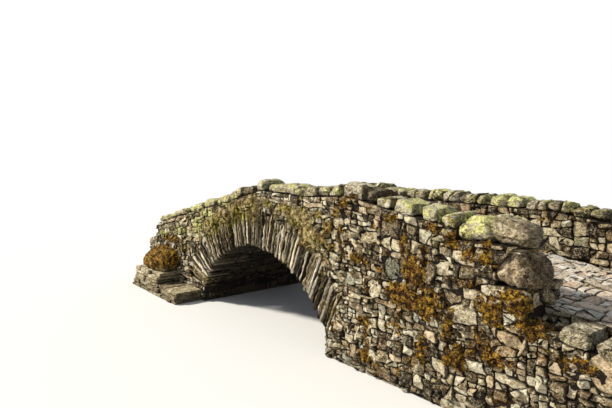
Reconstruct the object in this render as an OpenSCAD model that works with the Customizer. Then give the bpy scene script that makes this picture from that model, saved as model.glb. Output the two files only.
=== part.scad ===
// Humped packhorse bridge of slate rubble with one segmental arch.
// X runs along the bridge, Y across it and Z up. The near face looks towards -Y.
// The origin is at the middle of the plan, on the level that the abutments stand on.

/* [Arch] */
// Radius of the arch's underside
arch_r = 1960; // [1850:10:2050]
// Height of the underside at the crown
crown_z = 1230; // [1180:10:1300]
// Angle from the crown to each springing
spring_angle = 60; // [54:1:62]
// Middle of the arch along the bridge
arch_x = -540; // [-700:10:-400]
// Slates in each face ring
slate_count = 48; // [40:1:56]
// Mean length of the ring's slates, outwards from the underside
slate_length = 580; // [520:10:620]
// Most that a slate is longer or shorter than the mean
slate_scatter = 70; // [20:5:80]
// Open joint between two slates
slate_joint = 10; // [6:1:16]
// How far the slates stand proud of the wall's face
slate_proud = 40; // [20:5:60]
// Lean of the slates that stand against the right springing
right_lean = 27; // [22:1:40]
// Thickness of the vault between the two rings
vault_t = 300; // [240:10:340]
// Courses of stone in each third of the vault
vault_courses = 10; // [6:2:14]

/* [Walls] */
// Length of the whole bridge
bridge_length = 9500; // [9200:50:10500]
// Width over the two wall faces
bridge_width = 2920; // [2600:20:3400]
// Thickness of the spandrel walls and parapets
wall_t = 420; // [340:10:500]
// Distance from the bridge's left end to the parapets
left_inset = 400; // [250:10:700]

/* [Deck] */
// Height of the deck at the left end
deck_left_z = 880; // [700:10:1100]
// Height of the deck at the right end
deck_right_z = 1040; // [1000:10:1200]
// Thickness of the cobbled paving
deck_t = 120; // [80:5:160]
// Bedding between the vault's crown and the paving
bedding_t = 60; // [30:5:120]
// Level stretch of the deck to the left of the arch's middle
left_crest = 600; // [400:20:800]
// Level stretch of the deck to the right of the arch's middle
right_crest = 890; // [600:20:1100]
// Fall of the right ramp for each unit of its run
ramp_grade = 0.187; // [0.15:0.001:0.22]
// Fall of the landing at the right end for each unit of its run
landing_grade = 0.125; // [0.04:0.001:0.14]

/* [Near parapet] */
// Height above the deck at the left end, with the coping
near_left_h = 430; // [350:10:700]
// Height above the deck at the left haunch
near_haunch_h = 380; // [350:10:600]
// Height above the deck at the crest
near_crest_h = 545; // [500:5:700]
// Height above the deck on the right ramp
near_right_h = 750; // [650:10:900]

/* [Far parapet] */
// Height above the deck at the left end, with the coping
far_left_h = 430; // [350:10:700]
// Height above the deck at the crest
far_crest_h = 430; // [380:10:700]
// Height above the deck on the right ramp
far_right_h = 735; // [650:5:900]

/* [Coping] */
// Nominal thickness of the coping stones
coping_t = 150; // [110:5:190]
// How far the coping stones reach over the wall's faces
coping_over = 30; // [10:5:50]
// Open joint between two coping stones
coping_joint = 14; // [8:1:24]

/* [End pier] */
// Length of the pier that ends the near parapet
pier_length = 680; // [600:10:800]
// Distance from the pier to the bridge's right end
pier_inset = 930; // [800:10:1200]
// Thickness of the pier
pier_t = 700; // [600:10:800]
// Height of the pier above the deck
pier_h = 495; // [440:5:560]
// Length of the boulder that is set in the pier's end
end_boulder_length = 270; // [200:10:300]
// Height of that boulder
end_boulder_h = 375; // [320:5:420]
// Height of the long boulder on the pier
top_boulder_h = 270; // [220:10:320]
// Length of the long boulder
top_boulder_length = 800; // [540:10:820]

/* [Kerb and footings] */
// Thickness of the kerb slabs at the right end
kerb_t = 110; // [80:5:140]
// Length of the row of kerb slabs
kerb_length = 640; // [500:10:700]
// Height of one course of the left footing
footing_h = 200; // [150:10:220]
// How far the lower course stands out of the wall
footing_reach = 560; // [440:10:640]
// Length of the lower course
footing_length = 2100; // [1700:10:2250]
// Length of the boulder that rests on the footing
left_boulder_length = 1100; // [750:10:1150]
// Height of that boulder
left_boulder_h = 460; // [380:10:500]

/* [Hidden] */

slate_grey = "slategray";
rubble_grey = "lightslategray";
stone_grey = "darkgray";
cobble_grey = "silver";
lichen_grey = "beige";
hearting_brown = "rosybrown";

// Main planes and heights
left_x = -bridge_length / 2;
right_x = bridge_length / 2;
face_y = -bridge_width / 2;
inner_y = face_y + wall_t;
arch_z = crown_z - arch_r;
crest_z = crown_z + vault_t + bedding_t + deck_t;
left_crest_x = arch_x - left_crest;
right_crest_x = arch_x + right_crest;
parapet_x = left_x + left_inset;
pier_end_x = right_x - pier_inset;
pier_x = pier_end_x - pier_length;
kerb_x = right_x - kerb_length;

// Height of the deck: a ramp up, a level crest, a ramp down and an easier landing
round_over = 150;
left_grade = (crest_z - deck_left_z) / (left_crest_x - left_x);
function lower_of(a, b) =
    let (h = max(round_over - abs(a - b), 0) / round_over)
    min(a, b) - h * h * round_over / 4;
function higher_of(a, b) = -lower_of(-a, -b);
function left_ramp_z(x) = deck_left_z + left_grade * (x - left_x);
function right_ramp_z(x) = crest_z - ramp_grade * (x - right_crest_x);
function landing_z(x) = deck_right_z + landing_grade * (right_x - x);
function right_z(x) = higher_of(right_ramp_z(x), landing_z(x));
function deck_z(x) = lower_of(lower_of(left_ramp_z(x), crest_z), right_z(x));

// Points along a line of the deck's shape from x0 up to, but not at, x1
deck_step = 240;
function run_x(x0, x1) =
    let (n = ceil((x1 - x0) / deck_step))
    [for (i = [0:n - 1]) x0 + (x1 - x0) * i / n];
function deck_line(x0, x1, below = 0) = [for (x = run_x(x0, x1)) [x, deck_z(x) - below]];
function deck_point(x, below = 0) = [[x, deck_z(x) - below]];

// A point of the arch: angle from the crown, and distance outwards along the slates' lean.
// The slates fan out flat at the left springing and stand up steep against the right one.
left_lean_crown = 0.85;
left_lean_fan = 0.5;
right_lean_rate = 1.9;
function lean(a) = a < 0
    ? a * (left_lean_crown + left_lean_fan * pow(a / spring_angle, 2))
    : right_lean * sin(min(90, a * right_lean_rate));
function arch_point(a, out = 0) = [
    arch_x + arch_r * sin(a) + out * sin(lean(a)),
    arch_z + arch_r * cos(a) + out * cos(lean(a))
];

// Running sum of the first n values of a list
function running(v, n) = n == 0 ? 0 : running(v, n - 1) + v[n - 1];
// Places that divide x0 to x1 in the proportions of a list
function shares(v, x0, x1) =
    let (total = running(v, len(v)))
    [for (i = [0:len(v)]) x0 + (x1 - x0) * running(v, i) / total];
function backwards(v) = [for (i = [len(v) - 1:-1:0]) v[i]];

// The slates of a ring: their edges, lengths and how far each is tucked back
slate_seed = 11;
slate_edge = shares(rands(0.7, 1.3, slate_count, slate_seed), -spring_angle, spring_angle);
slate_end = [for (r = rands(-1, 1, slate_count, slate_seed + 1)) slate_length + r * slate_scatter];
slate_start = rands(0, 22, slate_count, slate_seed + 2);
slate_tuck = rands(0, slate_proud * 0.75, slate_count, slate_seed + 3);
joint_angle = asin(slate_joint / 2 / arch_r);
function slate_from(i) = slate_edge[i] + (i == 0 ? 0 : joint_angle);
function slate_to(i) = slate_edge[i + 1] - (i == slate_count - 1 ? 0 : joint_angle);
function slate_outline(i) = [
    arch_point(slate_from(i), slate_start[i]), arch_point(slate_to(i), slate_start[i]),
    arch_point(slate_to(i), slate_end[i]), arch_point(slate_from(i), slate_end[i])
];
// Outer ends of slates i to j, which the rubble above sits on
function slate_tops(i, j) = [
    for (k = [i:j]) for (a = [slate_from(k), slate_to(k)]) arch_point(a, slate_end[k])
];
// The ring's thirds, and the joints where the walls are divided
ring_third = [0, round(slate_count / 3), round(slate_count * 2 / 3), slate_count];
left_split = round(slate_count * 0.21);
right_split = round(slate_count * 0.78);
ring_reach = slate_length + slate_scatter + 20;
left_skew = arch_point(-spring_angle, ring_reach);
right_skew = arch_point(spring_angle, ring_reach);
left_break = arch_point(slate_edge[left_split], ring_reach);
right_break = arch_point(slate_edge[right_split], ring_reach);

// The vault's courses, each set back a little from the true curve
vault_total = 3 * vault_courses;
vault_edge = [for (i = [0:vault_total]) -spring_angle + 2 * spring_angle * i / vault_total];
vault_recess = rands(0, 18, vault_total, 23);
function vault_outline(i, j) = concat(
    [for (k = [i:j - 1]) for (a = [vault_edge[k], vault_edge[k + 1]]) arch_point(a, vault_recess[k])],
    [for (k = [j:-1:i]) arch_point(vault_edge[k], vault_t)]
);
function vault_back(i, j) = [for (k = [i:j]) arch_point(vault_edge[k], vault_t)];

// Heights of the parapets above the deck, from end to end
haunch_back = 200;
crest_on = 270;
crest_off = 310;
crest_gain = 20;
near_rise_run = 880;
far_rise_run = 2250;
near_h = [
    [parapet_x, near_left_h], [left_crest_x - haunch_back, near_haunch_h],
    [arch_x + crest_on, near_crest_h], [right_crest_x + crest_off, near_crest_h + crest_gain],
    [right_crest_x + crest_off + near_rise_run, near_right_h], [pier_x, near_right_h]
];
far_h = [
    [parapet_x, far_left_h], [left_crest_x, far_crest_h], [right_crest_x + crest_off, far_crest_h],
    [right_crest_x + crest_off + far_rise_run, far_right_h], [right_x, far_right_h]
];

// Coping stones from left to right: length and thickness, as they lie on the near wall
near_stones = [
    [700, 120], [660, 130], [740, 130], [460, 140], [450, 140], [400, 170],
    [410, 130], [260, 190], [930, 140], [300, 140], [250, 130], [220, 150],
    [410, 190], [190, 170], [270, 130], [320, 140], [320, 150], [200, 130]
];
near_marks = [0, 7, 13, 18];
// The far wall's stones follow one another in the same manner
far_stone_count = 22;
far_marks = [0, 8, 14, far_stone_count];
far_lengths = rands(260, 620, far_stone_count, 31);
far_heights = rands(120, 185, far_stone_count, 32);
far_stones = [for (i = [0:far_stone_count - 1]) [far_lengths[i], far_heights[i]]];
near_coping_x = shares([for (s = near_stones) s[0]], parapet_x, pier_x);
far_coping_x = shares([for (s = far_stones) s[0]], parapet_x, right_x);
// The bed of the coping, as a table of places and heights
function bed_table(places, heights) = [for (x = places) [x, deck_z(x) + lookup(x, heights) - coping_t]];
near_bed = bed_table(near_coping_x, near_h);
far_bed = bed_table(far_coping_x, far_h);
function bed_line(bed, x0, x1) = concat(
    [[x0, lookup(x0, bed)]],
    [for (p = bed) if (p[0] > x0 + 1 && p[0] < x1 - 1) p],
    [[x1, lookup(x1, bed)]]
);

// Draws an outline of X and Z as a prism from y0 to y1
module along_y(y0, y1, outline) {
    translate([0, y1, 0]) rotate([90, 0, 0]) linear_extrude(y1 - y0) polygon(outline);
}

// Turns what is drawn for the near side over to the far side
module far_side() {
    mirror([0, 1, 0]) children();
}

// An abutment fills the full width below the arch's skewback
module left_abutment() {
    color(stone_grey) along_y(face_y, -face_y, [
        [left_x, 0], [arch_point(-spring_angle)[0], 0], arch_point(-spring_angle),
        left_skew, [left_x, left_skew[1]]
    ]);
}

module right_abutment() {
    color(stone_grey) along_y(face_y, -face_y, [
        [arch_point(spring_angle)[0], 0], [right_x, 0], [right_x, right_skew[1]],
        right_skew, arch_point(spring_angle)
    ]);
}

// A third of the vault, from one face ring to the other
module vault_third(i) {
    color(rubble_grey) along_y(inner_y, -inner_y, vault_outline(i * vault_courses, (i + 1) * vault_courses));
}
module left_vault() { vault_third(0); }
module crown_vault() { vault_third(1); }
module right_vault() { vault_third(2); }

// A third of a face ring: thin slates on edge, each its own stone, with the vault at their backs
module ring_third_of(i) {
    color(slate_grey)
        for (k = [ring_third[i]:ring_third[i + 1] - 1])
            along_y(face_y - slate_proud + slate_tuck[k], inner_y, slate_outline(k));
}
module near_ring_left() { ring_third_of(0); }
module near_ring_crown() { ring_third_of(1); }
module near_ring_right() { ring_third_of(2); }
module far_ring_left() { far_side() ring_third_of(0); }
module far_ring_crown() { far_side() ring_third_of(1); }
module far_ring_right() { far_side() ring_third_of(2); }

// The spandrel walls rise from the abutments to the deck, and sit on the slates' ends
module spandrel_left() {
    color(rubble_grey) along_y(face_y, inner_y, concat(
        [[left_x, left_skew[1]], left_skew],
        slate_tops(0, left_split - 1),
        [left_break],
        deck_point(left_break[0]),
        backwards(deck_line(parapet_x, left_break[0])),
        backwards(deck_line(left_x, parapet_x))
    ));
}

module spandrel_right(kerb) {
    color(rubble_grey) along_y(face_y, inner_y, concat(
        [right_break],
        slate_tops(right_split, slate_count - 1),
        [right_skew, [right_x, right_skew[1]]],
        deck_point(right_x, kerb),
        backwards(deck_line(pier_end_x, right_x, kerb)),
        deck_point(pier_end_x),
        backwards(deck_line(right_break[0], pier_end_x))
    ));
}
module near_spandrel_left() { spandrel_left(); }
module near_spandrel_right() { spandrel_right(kerb_t); }
module far_spandrel_left() { far_side() spandrel_left(); }
module far_spandrel_right() { far_side() spandrel_right(0); }

// The wall over the crown, where spandrel and parapet are one
module crown_wall(bed) {
    color(rubble_grey) along_y(face_y, inner_y, concat(
        [left_break],
        slate_tops(left_split, right_split - 1),
        [right_break],
        backwards(bed_line(bed, left_break[0], right_break[0]))
    ));
}
module near_crown_wall() { crown_wall(near_bed); }
module far_crown_wall() { far_side() crown_wall(far_bed); }

// Rubble fill between the walls, over the back of the vault
module left_hearting() {
    color(hearting_brown) along_y(inner_y, -inner_y, concat(
        [[left_x, left_skew[1]], left_skew],
        vault_back(0, vault_total / 2),
        deck_point(arch_x, deck_t),
        backwards(deck_line(left_crest_x, arch_x, deck_t)),
        backwards(deck_line(left_x, left_crest_x, deck_t))
    ));
}

module right_hearting() {
    color(hearting_brown) along_y(inner_y, -inner_y, concat(
        vault_back(vault_total / 2, vault_total),
        [right_skew, [right_x, right_skew[1]]],
        deck_point(right_x, deck_t),
        backwards(deck_line(right_crest_x, right_x, deck_t)),
        backwards(deck_line(arch_x, right_crest_x, deck_t))
    ));
}

// A stretch of paving through the places of a list
module paving(places) {
    first = places[0];
    last = places[len(places) - 1];
    top = concat(
        [for (i = [0:len(places) - 2]) for (p = deck_line(places[i], places[i + 1])) p],
        deck_point(last)
    );
    color(cobble_grey) along_y(inner_y, -inner_y,
        concat([for (p = top) p - [0, deck_t]], backwards(top)));
}
module left_deck() { paving([left_x, left_crest_x]); }
module crown_deck() { paving([left_crest_x, arch_x, right_crest_x]); }
module right_deck() { paving([right_crest_x, right_x]); }

// A parapet stands on the spandrel wall between x0 and x1
module parapet(bed, x0, x1) {
    color(rubble_grey) along_y(face_y, inner_y, concat(
        deck_line(x0, x1), deck_point(x1), backwards(bed_line(bed, x0, x1))
    ));
}
module near_parapet_left() { parapet(near_bed, parapet_x, left_break[0]); }
module near_parapet_right() { parapet(near_bed, right_break[0], pier_x); }
module far_parapet_left() { far_side() parapet(far_bed, parapet_x, left_break[0]); }
module far_parapet_right() { far_side() parapet(far_bed, right_break[0], right_x); }

// One rough slab on a sloping bed from a to b, with its corners and upper edges knocked off.
// It reaches from y0 to y1, and its two ends are h0 and h1 thick.
knock = 0.16;
module rough_slab(a, b, h0, h1, y0, y1) {
    run = b[0] - a[0];
    fall = b[1] - a[1];
    slope = atan(fall / run);
    end_cut = run * knock;
    side_cut = (y1 - y0) * knock;
    edge_cut = min(h0, h1) * 0.4;
    intersection() {
        along_y(y0, y1, [
            a, b, b + [0, h1 * 0.55], b + [-end_cut, h1 - end_cut * fall / run],
            a + [end_cut, h0 + end_cut * fall / run], a + [0, h0 * 0.6]
        ]);
        translate([0, 0, min(a[1], b[1]) - 1]) linear_extrude(abs(fall) + max(h0, h1) + 100) polygon([
            [a[0], y0 + side_cut], [a[0] + end_cut, y0], [b[0] - end_cut / 2, y0], [b[0], y0 + side_cut / 2],
            [b[0], y1 - side_cut], [b[0] - end_cut, y1], [a[0] + end_cut / 2, y1], [a[0], y1 - side_cut / 2]
        ]);
        translate([a[0], 0, a[1]]) rotate([0, -slope, 0]) translate([-run, 0, 0])
            rotate([90, 0, 90]) linear_extrude(run * 3) polygon([
                [y0, -1], [y1, -1], [y1, min(h0, h1) - edge_cut], [y1 - edge_cut * 1.6, max(h0, h1) + 5],
                [y0 + edge_cut, max(h0, h1) + 5], [y0, min(h0, h1) - edge_cut * 1.3]
            ]);
    }
}

// Coping stones i to j of a wall, each bedded on the wall's top
module coping(stones, bed, i, j) {
    color(lichen_grey)
        for (k = [i:j - 1]) {
            x0 = bed[k][0] + coping_joint / 2;
            x1 = bed[k + 1][0] - coping_joint / 2;
            slant = 12 * (k % 3 - 1);
            rough_slab([x0, lookup(x0, bed)], [x1, lookup(x1, bed)], stones[k][1] - slant, stones[k][1] + slant,
                face_y - coping_over - 6 * (k % 4), inner_y + coping_over + 5 * (k % 3));
        }
}
module near_coping_left() { coping(near_stones, near_bed, near_marks[0], near_marks[1]); }
module near_coping_crown() { coping(near_stones, near_bed, near_marks[1], near_marks[2]); }
module near_coping_right() { coping(near_stones, near_bed, near_marks[2], near_marks[3]); }
module far_coping_left() { far_side() coping(far_stones, far_bed, far_marks[0], far_marks[1]); }
module far_coping_crown() { far_side() coping(far_stones, far_bed, far_marks[1], far_marks[2]); }
module far_coping_right() { far_side() coping(far_stones, far_bed, far_marks[2], far_marks[3]); }

// The thick pier at the near parapet's right end, with a seat for its corner boulder.
// The seat's side stands upright first and then leans out over the boulder's shoulder.
pier_top = deck_z(pier_x) + pier_h;
pier_y = face_y + pier_t;
seat_x = pier_end_x - end_boulder_length;
seat_z = pier_top - end_boulder_h;
seat_line = [
    [pier_end_x, seat_z], [seat_x, seat_z], [seat_x, seat_z + end_boulder_h * 0.42],
    [seat_x + end_boulder_length * 0.62, pier_top]
];
module end_pier() {
    color(rubble_grey) along_y(face_y, pier_y, concat(
        deck_line(pier_x, pier_end_x), deck_point(pier_end_x), seat_line, [[pier_x, pier_top]]
    ));
}

// A boulder is the hull of a few round corners, cut flat where it is bedded
module round_corner(place, r) {
    translate(place) sphere(r, $fn = 24);
}

// The rounded boulder on the pier's outer corner: a front edge from foot to top, and a broad side that
// looks along the bridge
end_boulder_out = 150;
module end_boulder() {
    r = end_boulder_h * 0.27;
    out_x = pier_end_x + end_boulder_out - r;
    color(stone_grey) intersection() {
        hull() {
            round_corner([seat_x + r * 0.8, face_y + r * 0.7, seat_z + end_boulder_h * 0.3], r);
            round_corner([pier_end_x - r * 0.5, face_y + r * 0.8, seat_z + r * 0.6], r);
            round_corner([pier_end_x - r * 0.9, face_y + r * 0.9, pier_top - r * 1.3], r);
            round_corner([out_x, face_y + pier_t * 0.36, seat_z + r * 0.7], r);
            round_corner([out_x - r * 0.3, face_y + pier_t * 0.42, pier_top - r * 1.9], r);
            round_corner([out_x - r * 0.9, face_y + pier_t * 0.82 - r, seat_z + r * 0.9], r);
            round_corner([seat_x + r, face_y + pier_t * 0.86 - r, seat_z + r * 0.8], r);
            round_corner([pier_end_x - r, face_y + pier_t * 0.8 - r, pier_top - r * 1.8], r);
        }
        along_y(face_y - slate_proud, pier_y, concat(
            seat_line, [[pier_end_x + end_boulder_out, pier_top], [pier_end_x + end_boulder_out, seat_z]]
        ));
    }
}

// The long boulder that caps the pier: highest near its left end, and steep at its right one
module end_coping_boulder() {
    r = top_boulder_h * 0.35;
    far_x = pier_x + top_boulder_length - r;
    high = pier_top + top_boulder_h - r;
    color(lichen_grey) intersection() {
        hull() {
            round_corner([pier_x + r * 0.7, face_y + r * 0.8, pier_top + r * 0.8], r);
            round_corner([pier_x + r * 1.7, face_y + r * 1.1, high - r * 0.15], r);
            round_corner([pier_x + top_boulder_length * 0.55, face_y + r * 1.3, high], r);
            round_corner([far_x, face_y + r * 1.1, pier_top + r * 0.95], r);
            round_corner([far_x - r * 0.2, face_y + r * 1.6, high - r * 0.8], r);
            round_corner([far_x - r, face_y + pier_t * 0.5, pier_top + r], r);
            round_corner([pier_x + r, pier_y - r, pier_top + r * 0.9], r);
            round_corner([pier_x + top_boulder_length * 0.4, pier_y - r * 1.2, high - r * 0.4], r);
        }
        translate([pier_x + 2, face_y - slate_proud, pier_top])
            cube([top_boulder_length + 20, pier_t + 2 * slate_proud, top_boulder_h + 5]);
    }
}

// Two flat slabs that edge the deck beyond the pier
module kerb_slabs() {
    middle = kerb_x + kerb_length * 0.47;
    color(stone_grey)
        for (ends = [[kerb_x + 2, middle - coping_joint], [middle, right_x]])
            rough_slab([ends[0], deck_z(ends[0]) - kerb_t], [ends[1], deck_z(ends[1]) - kerb_t],
                kerb_t, kerb_t + 8, face_y - coping_over, inner_y);
}

// Rough blocks in two courses that stand out of the left abutment's foot
footing_inset = 60;
boulder_inset = 100;
footing_x = arch_point(-spring_angle)[0] - footing_inset;
lower_blocks = [520, 380, 560, 440];
upper_blocks = [430, 360];
boulder_x = footing_x - footing_length + boulder_inset;
upper_reach = footing_reach - 40;
boulder_z = 2 * footing_h;
module block_course(blocks, x0, x1, z0, h, reach) {
    places = shares(blocks, x0, x1);
    for (k = [0:len(blocks) - 1])
        rough_slab([places[k], z0], [places[k + 1] - coping_joint, z0], h, h,
            face_y - reach + 25 * (k % 2), face_y);
}

module footing() {
    block_course(lower_blocks, footing_x - footing_length, footing_x, 0, footing_h, footing_reach);
    block_course(upper_blocks, boulder_x - 20, boulder_x + left_boulder_length + 20, footing_h, footing_h,
        upper_reach);
}
module near_footing() { color(stone_grey) footing(); }
module far_footing() { color(stone_grey) far_side() footing(); }

// The mossy boulder that leans on the near face above the footing
module left_boulder() {
    r = left_boulder_h * 0.4;
    high = boulder_z + left_boulder_h - r;
    far_x = boulder_x + left_boulder_length - r;
    color("goldenrod") intersection() {
        hull() {
            round_corner([boulder_x + r, face_y - r * 0.2, boulder_z + r * 0.6], r);
            round_corner([far_x, face_y - r * 0.4, boulder_z + r * 0.6], r);
            round_corner([boulder_x + r * 1.5, face_y - upper_reach + r * 1.3, boulder_z + r * 0.7], r);
            round_corner([far_x - r * 0.2, face_y - upper_reach + r * 1.2, boulder_z + r * 0.8], r);
            round_corner([boulder_x + r * 1.6, face_y - r * 0.5, high - r * 0.15], r);
            round_corner([far_x - r * 0.3, face_y - r * 0.6, high], r);
        }
        translate([boulder_x, face_y - upper_reach, boulder_z])
            cube([left_boulder_length, upper_reach, left_boulder_h]);
    }
}

left_abutment();
right_abutment();
left_vault();
crown_vault();
right_vault();
near_ring_left();
near_ring_crown();
near_ring_right();
far_ring_left();
far_ring_crown();
far_ring_right();
near_spandrel_left();
near_spandrel_right();
far_spandrel_left();
far_spandrel_right();
near_crown_wall();
far_crown_wall();
left_hearting();
right_hearting();
left_deck();
crown_deck();
right_deck();
near_parapet_left();
near_parapet_right();
far_parapet_left();
far_parapet_right();
near_coping_left();
near_coping_crown();
near_coping_right();
far_coping_left();
far_coping_crown();
far_coping_right();
end_pier();
end_boulder();
end_coping_boulder();
kerb_slabs();
near_footing();
far_footing();
left_boulder();
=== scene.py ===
import math

import bpy
import numpy as np
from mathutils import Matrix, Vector


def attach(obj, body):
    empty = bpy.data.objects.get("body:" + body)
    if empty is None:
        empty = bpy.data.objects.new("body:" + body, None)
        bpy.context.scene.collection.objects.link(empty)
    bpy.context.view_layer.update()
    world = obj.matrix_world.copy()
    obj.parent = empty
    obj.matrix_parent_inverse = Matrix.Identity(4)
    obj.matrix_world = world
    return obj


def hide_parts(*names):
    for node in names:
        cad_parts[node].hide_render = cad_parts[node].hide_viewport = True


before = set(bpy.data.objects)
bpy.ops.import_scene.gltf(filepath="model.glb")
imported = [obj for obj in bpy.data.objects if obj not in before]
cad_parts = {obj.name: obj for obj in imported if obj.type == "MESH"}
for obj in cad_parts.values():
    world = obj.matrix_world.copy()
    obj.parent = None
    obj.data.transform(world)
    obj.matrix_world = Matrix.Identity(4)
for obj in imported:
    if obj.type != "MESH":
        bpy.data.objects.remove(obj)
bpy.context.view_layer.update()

# Sizes of the bridge, in metres, as the CAD part has them
ARCH_R = 1.96
ARCH_X = -0.54
ARCH_Z = 1.23 - ARCH_R
SPRING = math.radians(60)
SPRING_Z = ARCH_Z + ARCH_R * math.cos(SPRING)
SPRING_LEFT = ARCH_X - ARCH_R * math.sin(SPRING)
SPRING_RIGHT = ARCH_X + ARCH_R * math.sin(SPRING)
FACE_Y = 1.46
INNER_Y = 1.04
END_X = 4.75
PARAPET_X = -4.35
PIER_X = 3.14
PIER_END_X = 3.82
PIER_Y = -0.76
KERB_X = 4.11
KERB_T = 0.11
CREST_Z = 1.71
DECK_LEFT_Z = 0.88
LEFT_CREST_X = ARCH_X - 0.6
RIGHT_CREST_X = ARCH_X + 0.89
RAMP_GRADE = 0.187
LANDING_Z = 1.04
LANDING_GRADE = 0.125
COPING_T = 0.15
ROUND_OVER = 0.15


def lower_of(a, b):
    """The lower of two heights, rounded over where they cross."""
    h = np.maximum(ROUND_OVER - np.abs(a - b), 0) / ROUND_OVER
    return np.minimum(a, b) - h * h * ROUND_OVER / 4


def deck_z(x):
    """Height of the deck at a place along the bridge."""
    grade = (CREST_Z - DECK_LEFT_Z) / (LEFT_CREST_X + END_X)
    left_ramp = DECK_LEFT_Z + grade * (x + END_X)
    right_ramp = CREST_Z - RAMP_GRADE * (x - RIGHT_CREST_X)
    landing = LANDING_Z + LANDING_GRADE * (END_X - x)
    right = -lower_of(-right_ramp, -landing)
    return lower_of(lower_of(left_ramp, CREST_Z + 0 * x), right)


def near_bed(x):
    """Top of the near parapet's rubble, under its coping."""
    places = [PARAPET_X, LEFT_CREST_X - 0.2, ARCH_X + 0.27, RIGHT_CREST_X + 0.31, RIGHT_CREST_X + 1.19]
    return deck_z(x) + np.interp(x, places, [0.43, 0.38, 0.545, 0.565, 0.75]) - COPING_T


def far_bed(x):
    """Top of the far parapet's rubble, under its coping."""
    places = [PARAPET_X, LEFT_CREST_X, RIGHT_CREST_X + 0.31, RIGHT_CREST_X + 2.56]
    return deck_z(x) + np.interp(x, places, [0.43, 0.43, 0.43, 0.735]) - COPING_T


PIER_TOP = float(deck_z(PIER_X)) + 0.495
SEAT_X = PIER_END_X - 0.27
SEAT_Z = PIER_TOP - 0.375
SEAT_LINE = [(SEAT_X, SEAT_Z), (SEAT_X, SEAT_Z + 0.157), (SEAT_X + 0.167, PIER_TOP)]


# Shader maths
class Value:
    """A shader socket that carries a number, so that shader maths reads as Python."""

    def __init__(self, nodes, socket):
        self.nodes, self.socket = nodes, socket

    def maths(self, operation, other):
        """A Math node for this value and another."""
        return self.nodes.node("ShaderNodeMath", {"operation": operation}, [self, other])

    def __add__(self, other):
        return self.maths("ADD", other)

    def __sub__(self, other):
        return self.maths("SUBTRACT", other)

    def __rsub__(self, other):
        return self.nodes.node("ShaderNodeMath", {"operation": "SUBTRACT"}, [other, self])

    def __mul__(self, other):
        return self.maths("MULTIPLY", other)

    __radd__ = __add__
    __rmul__ = __mul__


class Nodes:
    """The shader nodes of a material or of the world while they are laid out."""

    def __init__(self, owner):
        owner.use_nodes = True
        self.owner, self.tree = owner, owner.node_tree
        self.tree.nodes.clear()

    def node(self, kind, settings, inputs, output=0):
        """Adds a node: its settings first, then its sockets by number or name, as values or links."""
        made = self.tree.nodes.new(kind)
        for name, value in settings.items():
            if name == "stops":
                ramp = made.color_ramp
                while len(ramp.elements) < len(value):
                    ramp.elements.new(0.5)
                for element, (at, colour) in zip(ramp.elements, value):
                    element.position, element.color = at, colour
            else:
                setattr(made, name, value)
        pairs = inputs.items() if isinstance(inputs, dict) else enumerate(inputs)
        for key, value in pairs:
            if isinstance(value, Value):
                self.tree.links.new(value.socket, made.inputs[key])
            else:
                made.inputs[key].default_value = value
        return Value(self, made.outputs[output]) if len(made.outputs) else None


class Paint(Nodes):
    """One material, with the nodes that a paint is made of."""

    def __init__(self, name):
        super().__init__(bpy.data.materials.new(name))
        self.place = self.node("ShaderNodeTexCoord", {}, [], "Object")

    def noise(self, scale, detail=3.0, roughness=0.55, distortion=0.0, place=None):
        """Noise from 0 to 1, most of it near 0.5."""
        sockets = {"Vector": place or self.place, "Scale": scale, "Detail": detail}
        sockets |= {"Roughness": roughness, "Distortion": distortion}
        return self.node("ShaderNodeTexNoise", {}, sockets)

    def ripple(self, amount, *noise):
        """Noise about zero, so many times as strong."""
        return (self.noise(*noise) - 0.5) * amount

    def ramp(self, value, colours, stops=None):
        """A colour for a number. The colours lie at the stops, or evenly from 0 to 1."""
        stops = stops or [n / (len(colours) - 1) for n in range(len(colours))]
        return self.node("ShaderNodeValToRGB", {"stops": list(zip(stops, colours))}, [value])

    def step(self, value, low, high):
        """0 below low and 1 above high, with a smooth rise between them."""
        smooth = {"interpolation_type": "SMOOTHSTEP"}
        return self.node("ShaderNodeMapRange", smooth, [value, low, high, 0.0, 1.0])

    def mix(self, factor, a, b, blend="MIX"):
        """Colour a, with b over it by the factor."""
        settings = {"data_type": "RGBA", "blend_type": blend}
        return self.node("ShaderNodeMix", settings, {0: factor, 6: a, 7: b}, 2)

    def split(self, vector, axis):
        """One of a vector's three numbers."""
        return self.node("ShaderNodeSeparateXYZ", {}, [vector], axis)

    def carried(self, name):
        """The vector that a mesh carries at its points under this name."""
        return self.node("ShaderNodeAttribute", {"attribute_name": name}, [], "Vector")

    def finish(self, colour, roughness, height, distance):
        """A dull surface of this colour, with a relief so many metres high in its light."""
        relief = {"Strength": 1.0, "Distance": distance, "Height": height}
        surface = {"Base Color": colour, "Roughness": roughness, "Specular IOR Level": 0.25}
        surface["Normal"] = self.node("ShaderNodeBump", {}, relief)
        shader = self.node("ShaderNodeBsdfPrincipled", {}, surface)
        self.node("ShaderNodeOutputMaterial", {}, {"Surface": shader})
        return self.owner


def tone(red, green, blue):
    """A colour given as it looks on a screen, 0 to 255, as the shader wants it."""
    linear = []
    for level in (red / 255, green / 255, blue / 255):
        linear.append(level / 12.92 if level <= 0.04045 else ((level + 0.055) / 1.055) ** 2.4)
    return (*linear, 1.0)


def tones(*colours):
    """Several colours at once."""
    return [tone(*colour) for colour in colours]


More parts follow.
